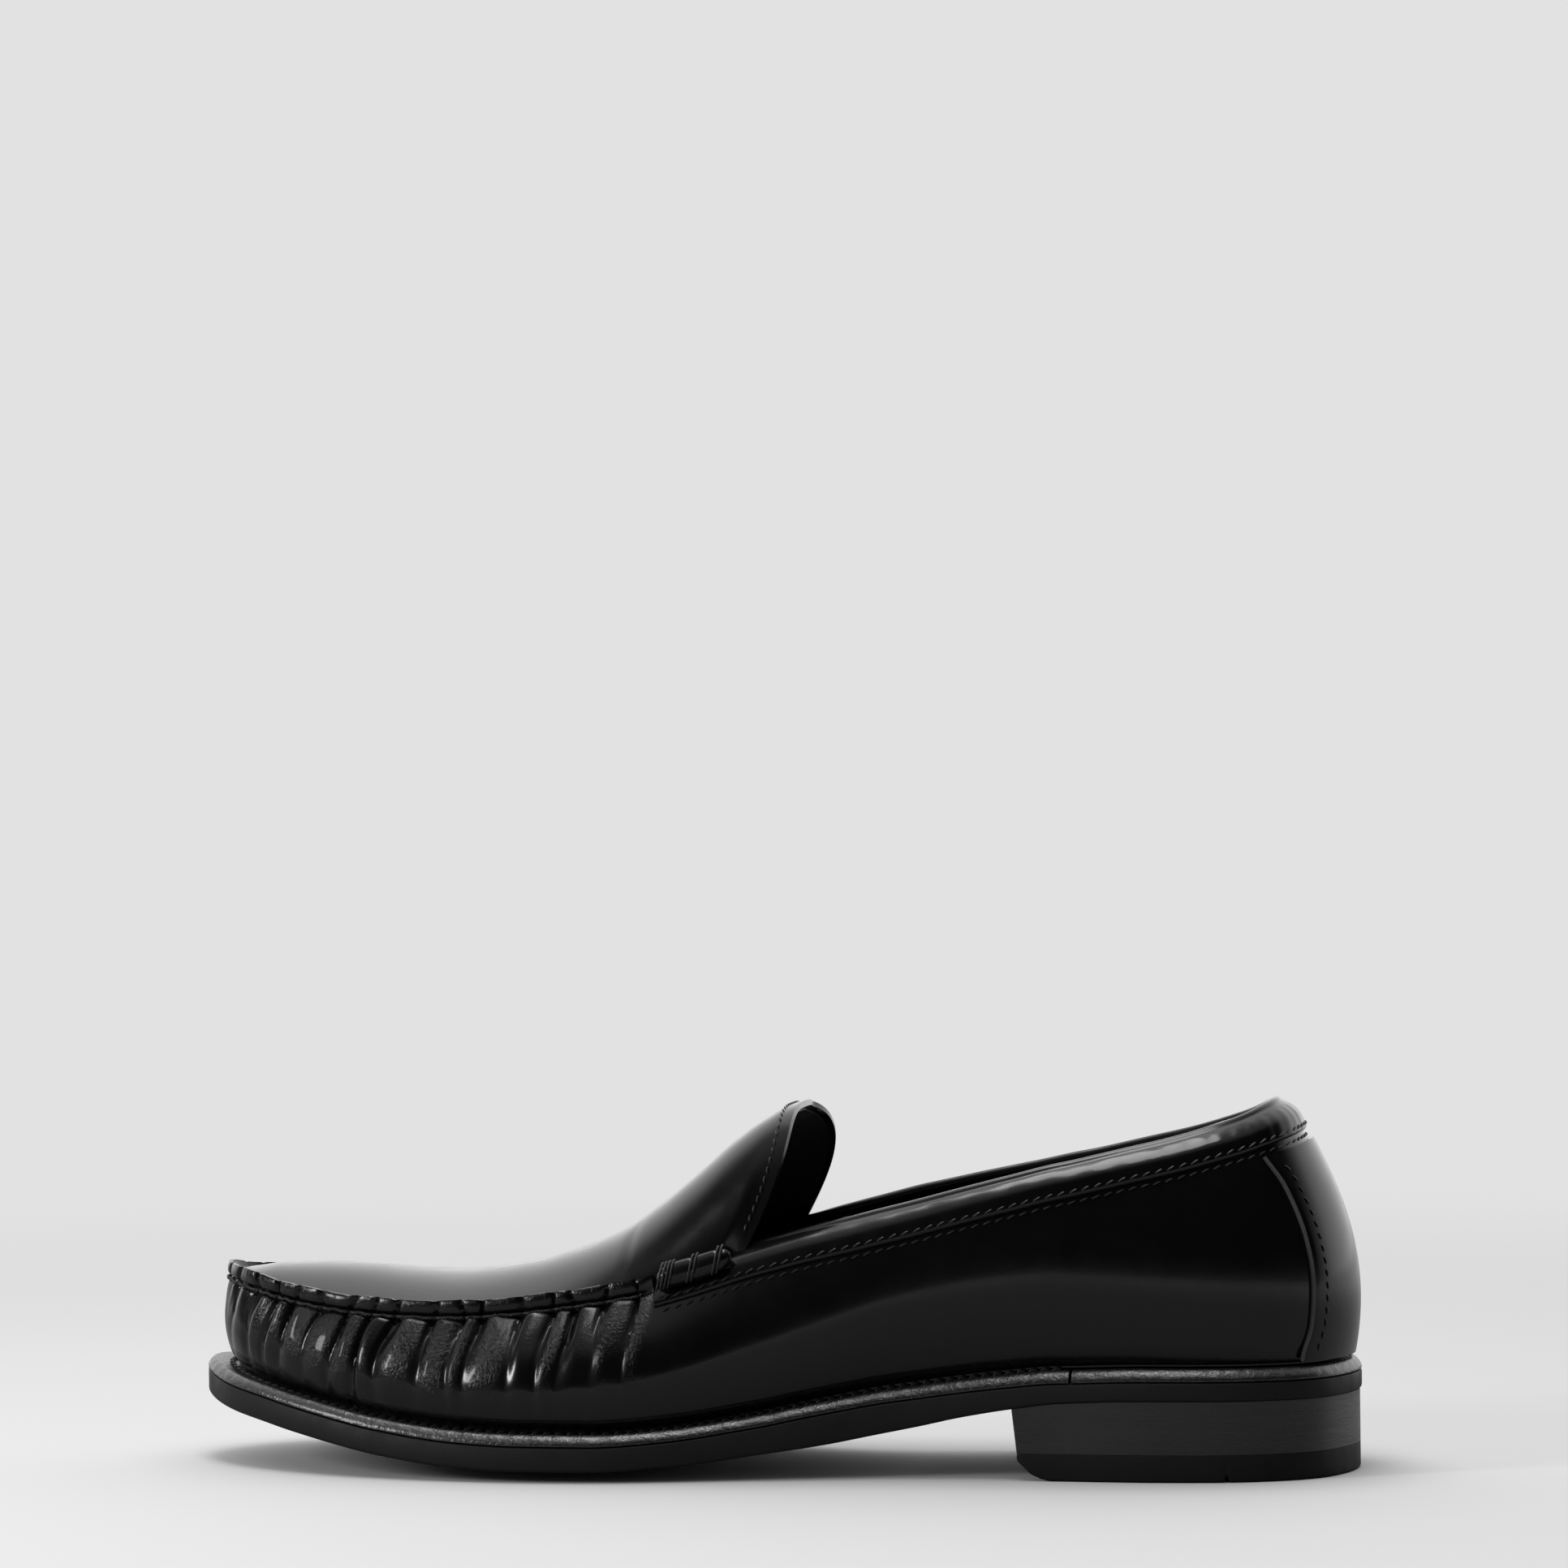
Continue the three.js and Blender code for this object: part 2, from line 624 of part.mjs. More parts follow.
// Wall of the upper with its ridge at the top and its lasting margin turned in under the foot.
function vampWall() {
  const outer = [];
  const inner = [];
  const steps = [...LATERAL.slice(1), ...MEDIAL.slice(1, -1)];
  [BACK_SEAM, ...steps, ROUND - BACK_SEAM].forEach((t) => {
    const top = wallTop(t);
    const height = wallHeight(t);
    const low = clearOfMargin(t);
    const ridge = RIDGE_HEIGHT / height;
    const heights = [top, top - ridge / 2, top - ridge, 0.66, 0.48, 0.3, mix(low, 0.3, 0.5), low];
    const line = feather(t);
    const corner = feather(t, WALL_THICKNESS);
    const middle = feather(t, LASTING_WIDTH / 2);
    const edge = feather(t, LASTING_WIDTH);
    outer.push([
      ...heights.map((h) => wallPoint(t, h)),
      placeOn(line, featherLevel),
      placeOn(middle, featherLevel),
      placeOn(edge, featherLevel),
    ]);
    inner.push([
      ...heights.map((h) => wallPoint(t, h, WALL_THICKNESS)),
      placeOn(corner, featherLevel, WALL_THICKNESS),
      placeOn(middle, featherLevel, WALL_THICKNESS),
      placeOn(edge, featherLevel, WALL_THICKNESS),
    ]);
  });
  return slab(outer, inner);
}

// Sheet inside the wall between two heights, `depth` mm below the wall's outer face.
function innerSheet(steps, lowest, highest, depth, thickness, rows, loop = false) {
  const outer = [];
  const inner = [];
  steps.forEach((t) => {
    const heights = rows.map((share) => mix(lowest(t), highest(t), share));
    outer.push(heights.map((h) => wallPoint(t, h, depth(t, h))));
    inner.push(heights.map((h) => wallPoint(t, h, depth(t, h) + thickness)));
  });
  return slab(outer, inner, loop);
}

const LINING_ROWS = [0, 0.27, 0.5, 0.68, 0.88, 1];
const COLLAR_LINING_TOP = 0.985;
const FOREPART_LINING_TOP = 0.7;
function wallLining() {
  const steps = [...LATERAL.slice(0, -1), ...MEDIAL.slice(0, -1)];
  const highest = (t) => mix(COLLAR_LINING_TOP, FOREPART_LINING_TOP, forepartShare(t));
  return innerSheet(steps, clearOfMargin, highest, liningDepth, LINING_THICKNESS, LINING_ROWS, true);
}

const stiffenerDepth = () => WALL_THICKNESS + GAP;

function heelCounter() {
  const medial = MEDIAL.filter((t) => t >= 20.5 && t < ROUND).map((t) => t - ROUND);
  const steps = [...medial, ...LATERAL.filter((t) => t <= 3.5)];
  const rows = LINING_ROWS.slice(0, 4);
  const highest = () => COLLAR_LINING_TOP;
  return innerSheet(steps, clearOfMargin, highest, stiffenerDepth, STIFFENER_THICKNESS, rows);
}

function toePuff() {
  const steps = [...LATERAL.filter((t) => t >= 9.3), ...MEDIAL.filter((t) => t > TOE && t <= 14.7)];
  const rows = LINING_ROWS.slice(0, 5);
  const highest = () => FOREPART_LINING_TOP;
  return innerSheet(steps, clearOfMargin, highest, stiffenerDepth, STIFFENER_THICKNESS, rows);
}

// Rows of the apron from the toe back to the tongue, as matching stations of the two seams.
const APRON_LATERAL = [
  34 / 3, 11, 32 / 3, 31 / 3, 10, 29 / 3, 28 / 3, 9, 8.5, 8, 7.5, 7.15, 6.76, 6.45, 6.15,
];
const APRON_MEDIAL = [
  38 / 3, 13, 40 / 3, 41 / 3, 14, 43 / 3, 44 / 3, 15, 15.5, 16, 16.5, 17, 17.38, 17.75, 18.06,
];
const APRON_COLUMNS = 12;
const TONGUE_LEAN = 9.5;
const APRON_SEAT = 1.5;

// The apron's edge lies against the inside of the ridge, a little above the ridge's foot.
function apronEdge(t) {
  return wallPoint(t, dropBelowTop(t, RIDGE_HEIGHT - APRON_SEAT), WALL_THICKNESS + GAP);
}

function apronRow(lateralStation, medialStation) {
  const left = apronEdge(lateralStation);
  const right = apronEdge(medialStation);
  const seamU = OUTSOLE_LENGTH / 2 - (left.x + right.x) / 2;
  const towardTongue = 1 - smoothstep(150 * alongScale, 205 * alongScale, seamU);
  const crestU = seamU - TONGUE_LEAN * towardTongue ** 2 * alongScale;
  const crestLevel = undersideCentre(crestU) + soleThickness(crestU) + WELT_THICKNESS + 2 * GAP;
  const crestZ = crestLevel + profile(CREST, crestU / alongScale) * wallScale;
  const fullness = mix(1, 0.5, towardTongue);
  const squareness = mix(2.2, 3.6, towardTongue);
  const row = [];
  for (let k = 0; k <= APRON_COLUMNS; k += 1) {
    const share = k / APRON_COLUMNS;
    const across = mix(2 * share - 1, -Math.cos(Math.PI * share), mix(0.1, 0.85, towardTongue));
    const arch = Math.max(1 - Math.abs(across) ** squareness, 0) ** fullness;
    const lean = Math.sin((Math.PI / 2) * arch) ** 0.9;
    const base = new THREE.Vector3().lerpVectors(left, right, (across + 1) / 2);
    base.x = mix(base.x, OUTSOLE_LENGTH / 2 - crestU, lean);
    base.z = mix(base.z, crestZ, arch);
    row.push(base);
  }
  return row;
}

function apronGrid() {
  const toe = [35 / 3, TOE, 37 / 3].map(apronEdge);
  const first = [];
  for (let k = 0; k <= APRON_COLUMNS; k += 1) {
    const share = (2 * k) / APRON_COLUMNS;
    const from = share < 1 ? 0 : 1;
    first.push(new THREE.Vector3().lerpVectors(toe[from], toe[from + 1], share - from));
  }
  return [first, ...APRON_LATERAL.map((t, i) => apronRow(t, APRON_MEDIAL[i]))];
}

function gridNormals(grid) {
  const lastRow = grid.length - 1;
  const lastColumn = grid[0].length - 1;
  return grid.map((row, i) =>
    row.map((point, k) => {
      const ahead = grid[Math.max(i - 1, 0)][k];
      const behind = grid[Math.min(i + 1, lastRow)][k];
      const right = row[Math.min(k + 1, lastColumn)];
      const left = row[Math.max(k - 1, 0)];
      const along = new THREE.Vector3().subVectors(ahead, behind);
      const across = new THREE.Vector3().subVectors(right, left);
      const normal = new THREE.Vector3().crossVectors(along, across).normalize();
      return normal.z < -0.2 ? normal.negate() : normal;
    }),
  );
}

const apronPoints = apronGrid();
const apronNormals = gridNormals(apronPoints);
apronNormals[0] = apronNormals[1];

function apronSunk(depth) {
  const sink = (point, normal) => point.clone().addScaledVector(normal, -depth);
  return apronPoints.map((row, i) => row.map((point, k) => sink(point, apronNormals[i][k])));
}

function apron() {
  return slab(apronPoints, apronSunk(APRON_THICKNESS));
}

function apronLining() {
  const upper = APRON_THICKNESS + GAP;
  const trim = (grid) => grid.slice(1, -1).map((row) => row.slice(1, -1));
  return slab(trim(apronSunk(upper)), trim(apronSunk(upper + APRON_LINING_THICKNESS)));
}

const STRAP_COLUMNS = 12;
const STRAP_ROWS = 10;
function backStrap() {
  const outer = [];
  const inner = [];
  for (let i = 0; i <= STRAP_COLUMNS; i += 1) {
    const side = (2 * i) / STRAP_COLUMNS - 1;
    const points = [];
    for (let k = 0; k <= STRAP_ROWS; k += 1) {
      const share = k / STRAP_ROWS;
      const t = side * profile(STRAP_EDGE, share * (1 - STRAP_TOP_DROP / BACK_WALL_HEIGHT));
      points.push([t, mix(1.5 / wallHeight(t), dropBelowTop(t, STRAP_TOP_DROP), share)]);
    }
    outer.push(points.map(([t, h]) => wallPoint(t, h, -(GAP + STRAP_THICKNESS))));
    inner.push(points.map(([t, h]) => wallPoint(t, h, -GAP)));
  }
  return slab(outer, inner);
}

const COLLAR = [
  ...MEDIAL.filter((t) => t >= COLLAR_END.medial).map((t) => t - ROUND),
  ...LATERAL.filter((t) => t > 0 && t <= COLLAR_END.lateral),
];

// Folded strip over the collar edge, from the lateral side roll round the heel to the medial one.
function toplineBinding() {
  const outside = -(GAP + BINDING_THICKNESS);
  const insideFace = WALL_THICKNESS + LINING_THICKNESS + 2 * GAP;
  const outer = [];
  const inner = [];
  COLLAR.forEach((t) => {
    const at = (drop, depth, rise = 0) => wallPoint(t, dropBelowTop(t, drop), depth, rise);
    const insideOuter = insideFace + BINDING_THICKNESS;
    outer.push([
      at(BINDING_OUTER_LEG, outside),
      at(BINDING_OUTER_LEG / 2, outside),
      at(0, outside, 0.2),
      at(0, outside + 0.8, 1.1),
      at(0, insideFace / 2, GAP + 1.2),
      at(0, insideOuter - 0.8, 1.1),
      at(0, insideOuter, 0.2),
      at(BINDING_INNER_LEG / 2, insideOuter),
      at(BINDING_INNER_LEG, insideOuter),
    ]);
    inner.push([
      at(BINDING_OUTER_LEG, -GAP),
      at(BINDING_OUTER_LEG / 2, -GAP),
      at(0, -GAP, 0.1),
      at(0, 0, GAP),
      at(0, insideFace / 2, GAP),
      at(0, insideFace - GAP, GAP),
      at(0, insideFace, 0.1),
      at(BINDING_INNER_LEG / 2, insideFace),
      at(BINDING_INNER_LEG, insideFace),
    ]);
  });
  return slab(outer, inner);
}

// ---------------------------------------------------------------- side rolls and their lashings

const ROLL_OUT = 1.6;
const ROLL_END = 0.02;
const LASHING_SHARES = [0.18, 0.5, 0.8];
const LASHING_LEAN = 0.06;
const UP = new THREE.Vector3(0, 0, 1);

// Frame of a roll at station t: it stands on the wall's lowered top edge, outside the apron.
function rollFrame(t) {
  const [nu, nv] = inward(t);
  const out = new THREE.Vector3(nu, -nv, 0);
  const centre = leaningWall(t, dropBelowTop(t, RIDGE_HEIGHT)).addScaledVector(out, ROLL_OUT);
  centre.z = leaningWall(t, dropBelowTop(t, ROLL_DROP)).z + ROLL_HALF_HEIGHT + GAP + 0.1;
  return { centre, out, up: UP };
}

function rollPoint(t, angle, grow) {
  const { centre, out, up } = rollFrame(t);
  return centre
    .addScaledVector(out, (ROLL_HALF_WIDTH * grow.scale + grow.extra) * Math.cos(angle))
    .addScaledVector(up, (ROLL_HALF_HEIGHT * grow.scale + grow.extra) * Math.sin(angle));
}

const ROLL_SIDES = 10;
function sideRoll(from, to) {
  const shares = [0, 0.03, 0.1, 0.24, 0.42, 0.58, 0.76, 0.9, 0.97, 1];
  const body = new Body();
  const rings = shares.map((share) => {
    const scale = Math.max(1 - Math.abs(2 * share - 1) ** 5, 0) ** 0.5;
    const ring = [];
    for (let k = 0; k < ROLL_SIDES; k += 1) {
      ring.push(rollPoint(mix(from, to, share), (2 * Math.PI * k) / ROLL_SIDES, { scale, extra: 0 }));
    }
    return ring;
  });
  for (let i = 0; i + 1 < rings.length; i += 1) {
    for (let k = 0; k < ROLL_SIDES; k += 1) {
      const next = (k + 1) % ROLL_SIDES;
      body.quad(rings[i][k], rings[i + 1][k], rings[i + 1][next], rings[i][next]);
    }
  }
  return body.geometry();
}

// Thread over the outside and top of a roll, leaning a little along it.
function lashing(t, lean) {
  const points = [];
  const faces = [];
  for (let k = 0; k <= 8; k += 1) {
    const angle = mix(-0.75, 2.0, k / 8);
    const station = t + lean * (k / 8 - 0.5);
    const clear = GAP + THREAD_RADIUS + 0.15;
    points.push(rollPoint(station, angle, { scale: 1, extra: clear }));
    faces.push(rollPoint(station, angle, { scale: 1, extra: clear + 1 }).sub(points[k]));
  }
  return thread(points, faces);
}

// ---------------------------------------------------------------- stitching

const SEAM_START = { lateral: LATERAL_ROLL.front + 0.08, medial: MEDIAL_ROLL.front - 0.08 };
const foreLateral = LATERAL.filter((t) => t > SEAM_START.lateral + 0.05);
const foreMedial = MEDIAL.filter((t) => t > TOE && t < SEAM_START.medial - 0.05);

function apronSeamThread() {
  const steps = [SEAM_START.lateral, ...foreLateral, ...foreMedial, SEAM_START.medial];
  return wallThread(steps, RIDGE_HEIGHT);
}

// The upper collar row is sewn through the binding; the lower one runs on below the side rolls.
function collarThreadUpper() {
  return wallThread(COLLAR, BINDING_OUTER_LEG - COLLAR_ROW_OFFSET, GAP + BINDING_THICKNESS);
}

function collarThreadLower() {
  const medial = MEDIAL.filter((t) => t >= MEDIAL_ROLL.frontIn).map((t) => t - ROUND);
  const lateral = LATERAL.filter((t) => t > 0 && t <= LATERAL_ROLL.frontIn);
  return wallThread([...medial, ...lateral], BINDING_OUTER_LEG + COLLAR_ROW_OFFSET);
}

const STRAP_THREAD_STEPS = 10;
function strapThread(side) {
  const points = [];
  const faces = [];
  const clear = -(GAP + STRAP_THICKNESS + GAP + THREAD_RADIUS);
  for (let k = 0; k <= STRAP_THREAD_STEPS; k += 1) {
    const share = mix(0.04, 0.96, k / STRAP_THREAD_STEPS);
    const edge = profile(STRAP_EDGE, share * (1 - STRAP_TOP_DROP / BACK_WALL_HEIGHT));
    const t = side * (edge - STRAP_STITCH_INSET);
    const h = mix(1.5 / wallHeight(t), dropBelowTop(t, STRAP_TOP_DROP), share);
    points.push(wallPoint(t, h, clear));
    faces.push(points[k].clone().sub(wallPoint(t, h)));
  }
  return thread(points, faces);
}

function tongueThread() {
  const row = apronPoints.length - 1;
  const points = [];
  const faces = [];
  for (let k = 1; k < APRON_COLUMNS; k += 1) {
    const normal = apronNormals[row][k];
    const inside = new THREE.Vector3().lerpVectors(apronPoints[row][k], apronPoints[row - 1][k], 0.28);
    points.push(inside.addScaledVector(normal, GAP + THREAD_RADIUS + 0.15));
    faces.push(normal);
  }
  return thread(points, faces);
}

function weltThread() {
  const lateral = LAYER_STEPS.filter((t) => t > weltLateral + 0.2);
  const medial = mirrored(LAYER_STEPS).reverse().filter((t) => t > TOE && t < weltMedial - 0.2);
  const points = [...lateral, ...medial].map((t) => {
    return placeOn(inset(t, mix(WELT_BEVEL, column(t, 2), 0.45)), weltTop, GAP + THREAD_RADIUS);
  });
  return thread(points, points.map(() => new THREE.Vector3(0, 0, 1)));
}

// ---------------------------------------------------------------- assembly

const SMOOTH_BLACK = { color: 0x101011, roughness: 0.22, metalness: 0 };
const LINING = { color: 0x1a1919, roughness: 0.6, metalness: 0 };
const RUBBER = { color: 0x1c1c1d, roughness: 0.75, metalness: 0 };
const WELTING = { color: 0x151515, roughness: 0.4, metalness: 0 };
const STACK = { color: 0x211e1c, roughness: 0.45, metalness: 0 };
const THREAD = { color: 0x161616, roughness: 0.7, metalness: 0 };
const CORK = { color: 0xa97f52, roughness: 0.9, metalness: 0 };
const BOARD = { color: 0x8d6f4e, roughness: 0.85, metalness: 0 };
const STEEL = { color: 0x9a9da1, roughness: 0.35, metalness: 1 };

const group = new THREE.Group();
group.name = "penny_loafer";

function add(name, geometry, finish) {
  const mesh = new THREE.Mesh(geometry, new THREE.MeshStandardMaterial(finish));
  mesh.name = name;
  group.add(mesh);
}

add("outsole", outsole(), RUBBER);
add("welt", welt(), WELTING);
add("heel_rand", heelRand(), WELTING);
for (let number = 1; number <= LIFT_COUNT; number += 1) add(`heel_lift_${number}`, heelLift(number), STACK);
add("top_lift", topLift(), RUBBER);
add("forepart_filler", forepartFiller(), CORK);
add("heel_filler", heelFiller(), CORK);
add("shank", shank(), STEEL);
add("insole_board", insoleBoard(), BOARD);
add("sock_liner", sockLiner(), LINING);
add("vamp_wall", vampWall(), SMOOTH_BLACK);
add("wall_lining", wallLining(), LINING);
add("heel_counter", heelCounter(), BOARD);
add("toe_puff", toePuff(), BOARD);
add("apron", apron(), SMOOTH_BLACK);
add("apron_lining", apronLining(), LINING);
add("back_strap", backStrap(), SMOOTH_BLACK);
add("topline_binding", toplineBinding(), SMOOTH_BLACK);
add("side_roll_lateral", sideRoll(LATERAL_ROLL.rearIn + ROLL_END, LATERAL_ROLL.frontIn - ROLL_END), SMOOTH_BLACK);
add("side_roll_medial", sideRoll(MEDIAL_ROLL.rearIn - ROLL_END, MEDIAL_ROLL.frontIn + ROLL_END), SMOOTH_BLACK);
LASHING_SHARES.forEach((share, i) => {
  const lateral = mix(LATERAL_ROLL.frontIn, LATERAL_ROLL.rearIn, share);
  const medial = mix(MEDIAL_ROLL.frontIn, MEDIAL_ROLL.rearIn, share);
  add(`lateral_lashing_${i + 1}`, lashing(lateral, -LASHING_LEAN), THREAD);
  add(`medial_lashing_${i + 1}`, lashing(medial, LASHING_LEAN), THREAD);
});
add("apron_seam_thread", apronSeamThread(), THREAD);
add("collar_thread_upper", collarThreadUpper(), THREAD);
add("collar_thread_lower", collarThreadLower(), THREAD);
add("strap_thread_lateral", strapThread(1), THREAD);
add("strap_thread_medial", strapThread(-1), THREAD);
add("tongue_thread", tongueThread(), THREAD);
add("welt_thread", weltThread(), THREAD);

const bounds = new THREE.Box3().setFromObject(group);
const centre = bounds.getCenter(new THREE.Vector3());
group.children.forEach((mesh) => mesh.geometry.translate(-centre.x, -centre.y, -bounds.min.z));

export default group;
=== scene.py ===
"""Looks of a left men's loafer with a gathered moccasin toe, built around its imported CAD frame.

Shapes are worked out in millimetres in the shoe's own axes and placed by the frame's boxes:
u runs forward from the back of the heel, v runs sideways, and "t" is a station round the shoe,
from the middle of the heel (0) along the outer side to the toe (12) and back along the inner side (24).
"""

import math

import bpy
import numpy as np
from mathutils import Matrix, Vector


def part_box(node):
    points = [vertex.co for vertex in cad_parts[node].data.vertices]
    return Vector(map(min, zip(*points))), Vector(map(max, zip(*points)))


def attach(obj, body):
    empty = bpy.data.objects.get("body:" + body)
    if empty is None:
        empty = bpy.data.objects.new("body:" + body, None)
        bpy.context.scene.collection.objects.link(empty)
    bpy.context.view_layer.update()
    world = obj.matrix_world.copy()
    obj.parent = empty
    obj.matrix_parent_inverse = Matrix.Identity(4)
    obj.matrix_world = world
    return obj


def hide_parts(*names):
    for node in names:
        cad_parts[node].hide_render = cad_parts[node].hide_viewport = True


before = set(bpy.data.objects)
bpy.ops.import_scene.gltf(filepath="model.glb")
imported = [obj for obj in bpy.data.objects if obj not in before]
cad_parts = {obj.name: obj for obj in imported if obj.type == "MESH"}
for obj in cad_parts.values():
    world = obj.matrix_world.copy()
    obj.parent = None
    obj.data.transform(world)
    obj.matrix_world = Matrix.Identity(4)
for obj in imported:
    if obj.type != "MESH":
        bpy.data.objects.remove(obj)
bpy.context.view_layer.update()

# ---------------------------------------------------------------- sizes, in millimetres

# The sizes repeat those of the CAD part, so that the pieces fit the frame.
MM = 0.001
OUTSOLE_LENGTH = 300.0
HEEL_HEIGHT = 20.0
TOE_SPRING = 21.0
GAP = 0.3
FOREPART_SOLE = 6.2
HEEL_SEAT_SOLE = 4.8
WAIST_THICKENING = 2.1
WELT_THICKNESS = 3.0
WALL_THICKNESS = 1.6
APRON_THICKNESS = 1.5
LINING_THICKNESS = 1.0
STIFFENER_THICKNESS = 1.2
INSOLE_THICKNESS = 2.4
SOCK_THICKNESS = 0.9
RIDGE_HEIGHT = 4.3
ROLL_DROP = 5.0
ROLL_HALF_WIDTH = 2.9
ROLL_HALF_HEIGHT = 3.4
BINDING_THICKNESS = 0.9
BINDING_OUTER_LEG = 8.2
BINDING_INNER_LEG = 5.0
COLLAR_ROW_OFFSET = 1.2
STRAP_THICKNESS = 1.2
STRAP_TOP_DROP = 10.6
HEEL_BREAST = 84.3
BREAST_RAKE = 0.3
LIFT_COUNT = 4
TOP_LIFT_THICKNESS = 6.8
HEEL_INSET = 0.5
WELT_JOINT = 69.7
TOE = 12.0
ROUND = 24.0

# Sole edge u and v, welt margin, top edge u and v, wall height, wall swell.
STATIONS = np.array([
    [0, 0, 3.2, 18.5, 0, 64.6, 7.0],
    [7, -21, 3.2, 21, -13, 63.3, 6.6],
    [24, -32, 3.4, 31, -21.5, 59.5, 6.0],
    [48, -35.5, 3.6, 50, -27, 54.4, 5.5],
    [80, -34.5, 3.8, 80, -30.5, 48.7, 5.2],
    [115, -35, 4.2, 115, -31.5, 44.4, 5.6],
    [150, -41, 5.0, 149, -31, 42.7, 6.5],
    [185, -47.5, 5.8, 182, -30, 37.2, 7.5],
    [215, -47.5, 6.2, 212, -29, 32.8, 7.5],
    [245, -41.5, 6.4, 241, -27, 29.5, 6.0],
    [270, -31, 6.6, 266, -21, 27.5, 4.8],
    [290.5, -15.5, 6.8, 284.5, -11, 27.2, 3.6],
    [300, 5, 7.0, 292.5, 4, 26.5, 3.0],
    [293, 25.5, 6.8, 286, 19, 27.0, 3.6],
    [272, 41, 6.6, 266, 29, 27.6, 4.8],
    [245, 47, 6.2, 243, 32, 30.2, 6.5],
    [215, 50, 5.8, 214, 34, 33.4, 7.5],
    [182, 45, 5.2, 184, 33, 38.0, 7.5],
    [150, 33, 4.4, 150, 31.5, 42.7, 6.0],
    [118, 27, 3.8, 117, 31, 44.9, 5.0],
    [80, 31.5, 3.6, 80, 29.5, 48.0, 4.8],
    [48, 34.5, 3.6, 50, 26.5, 53.7, 5.2],
    [24, 31, 3.4, 31, 21, 59.1, 5.8],
    [7, 20.5, 3.2, 21, 13, 63.3, 6.6],
], float)
# Height of the heel end's underside, as a share of the heel's height.
HEEL_RISE = [
    (-20, 1), (0, 1), (50, 1), (72, .965), (85, .885), (96.5, .785), (108, .645), (119, .52),
    (132, .378), (146, .257), (170, .07), (190, 0), (310, 0),
]
# Share of the extra thickness that the sole has under the waist.
WAIST = [
    (-20, 0), (66, 0), (85, .3), (97, .5), (108, .81), (120, 1), (129, .95), (137, .76), (147, .36),
    (160, .15), (178, 0), (310, 0),
]
# Rise of the toe's underside, as a share of the toe spring.
TOE_RISE = [
    (-20, 0), (206, 0), (222, .024), (245, .143), (268, .371), (285, .59), (300, .829), (310, 1),
]
# Height by which the sole's edges stand above its centre line.
CROWN = [
    (-20, 0), (90, 0), (120, .8), (150, 1.8), (180, 2.6), (210, 2.8), (250, 3), (275, 2.2),
    (300, 0), (310, 0),
]
# Height of the apron's middle line above the welt.
CREST = [
    (143.5, 75.6), (149, 74.0), (157, 70.1), (167, 63.4), (177, 56.5), (187.4, 50.1),
    (197.5, 45.7), (213, 41.1), (232, 37.6), (255, 35.3), (279, 29.7), (289, 25.5), (296, 23),
]
# Stations: rear and front end of each roll, ends of the collar, rise of the ridge, ends of the folds.
LATERAL_ROLL = (6.17, 6.74)
MEDIAL_ROLL = (18.04, 17.47)
COLLAR_END = (6.17, 18.04)
RIDGE_SPAN = ((6.20, 6.36), (17.85, 18.01))
FOLDS_START = (6.80, 17.41)


# ---------------------------------------------------------------- curves

def smoothstep(low, high, value):
    share = np.clip((np.asarray(value, float) - low) / (high - low), 0, 1)
    return share * share * (3 - 2 * share)


def mix(a, b, share):
    return a + (b - a) * share


def unit(vectors):
    return vectors / np.linalg.norm(vectors, axis=-1, keepdims=True)


def grids(*values):
    """Numbers or arrays as float arrays of one common shape."""
    return np.broadcast_arrays(*[np.asarray(value, float) for value in values])


def along_path(at, along, values):
    """The rows of `values`, which lie at the lengths `along`, read off at the lengths `at`."""
    return np.stack([np.interp(at, along, values[:, i]) for i in range(3)], -1)


def profile(table, x):
    """Smooth curve through a table of (x, y) that never overshoots its points."""
    xs, ys = np.array(table, float).T
    secants = np.diff(ys) / np.diff(xs)
    slopes = np.zeros(len(xs))
    for i in range(1, len(xs) - 1):
        before, after = secants[i - 1], secants[i]
        if before * after > 0:
            slopes[i] = 2 * before * after / (before + after)
    x = np.clip(np.asarray(x, float), xs[0], xs[-1])
    k = np.clip(np.searchsorted(xs, x, side="right") - 1, 0, len(xs) - 2)
    step = xs[k + 1] - xs[k]
    f = (x - xs[k]) / step
    return (
        (2 * f**3 - 3 * f**2 + 1) * ys[k]
        + (f**3 - 2 * f**2 + f) * step * slopes[k]
        + (3 * f**2 - 2 * f**3) * ys[k + 1]
        + (f**3 - f**2) * step * slopes[k + 1]
    )


def column(t, index):
    """Catmull-Rom value of one column of the station table at any place t round the shoe."""
    wrapped = np.mod(np.asarray(t, float), ROUND)
    k = np.floor(wrapped).astype(int)
    f = wrapped - k
    a, b, c, d = [STATIONS[(k + shift) % 24, index] for shift in (-1, 0, 1, 2)]
    return 0.5 * (2 * b + (c - a) * f + (2 * a - 5 * b + 4 * c - d) * f**2 + (3 * b - a - 3 * c + d) * f**3)


def sole_edge(t):
    return column(t, 0), column(t, 1)


def inward(t):
    """Direction in plan pointing from the sole's edge into the shoe."""
    du = column(t + 0.05, 0) - column(t - 0.05, 0)
    dv = column(t + 0.05, 1) - column(t - 0.05, 1)
    length = np.hypot(du, dv)
    return -dv / length, du / length


def inset(t, distance):
    u, v = sole_edge(t)
    nu, nv = inward(t)
    return u + nu * distance, v + nv * distance


def feather(t, further=0.0):
    return inset(t, column(t, 2) + further)


SIDE_T = np.linspace(0, TOE, 97)
LATERAL_SIDE = np.array(sole_edge(SIDE_T))
MEDIAL_SIDE = np.array(sole_edge(ROUND - SIDE_T))


def side_at(side, u):
    return np.interp(u, np.maximum.accumulate(side[0]), side[1])


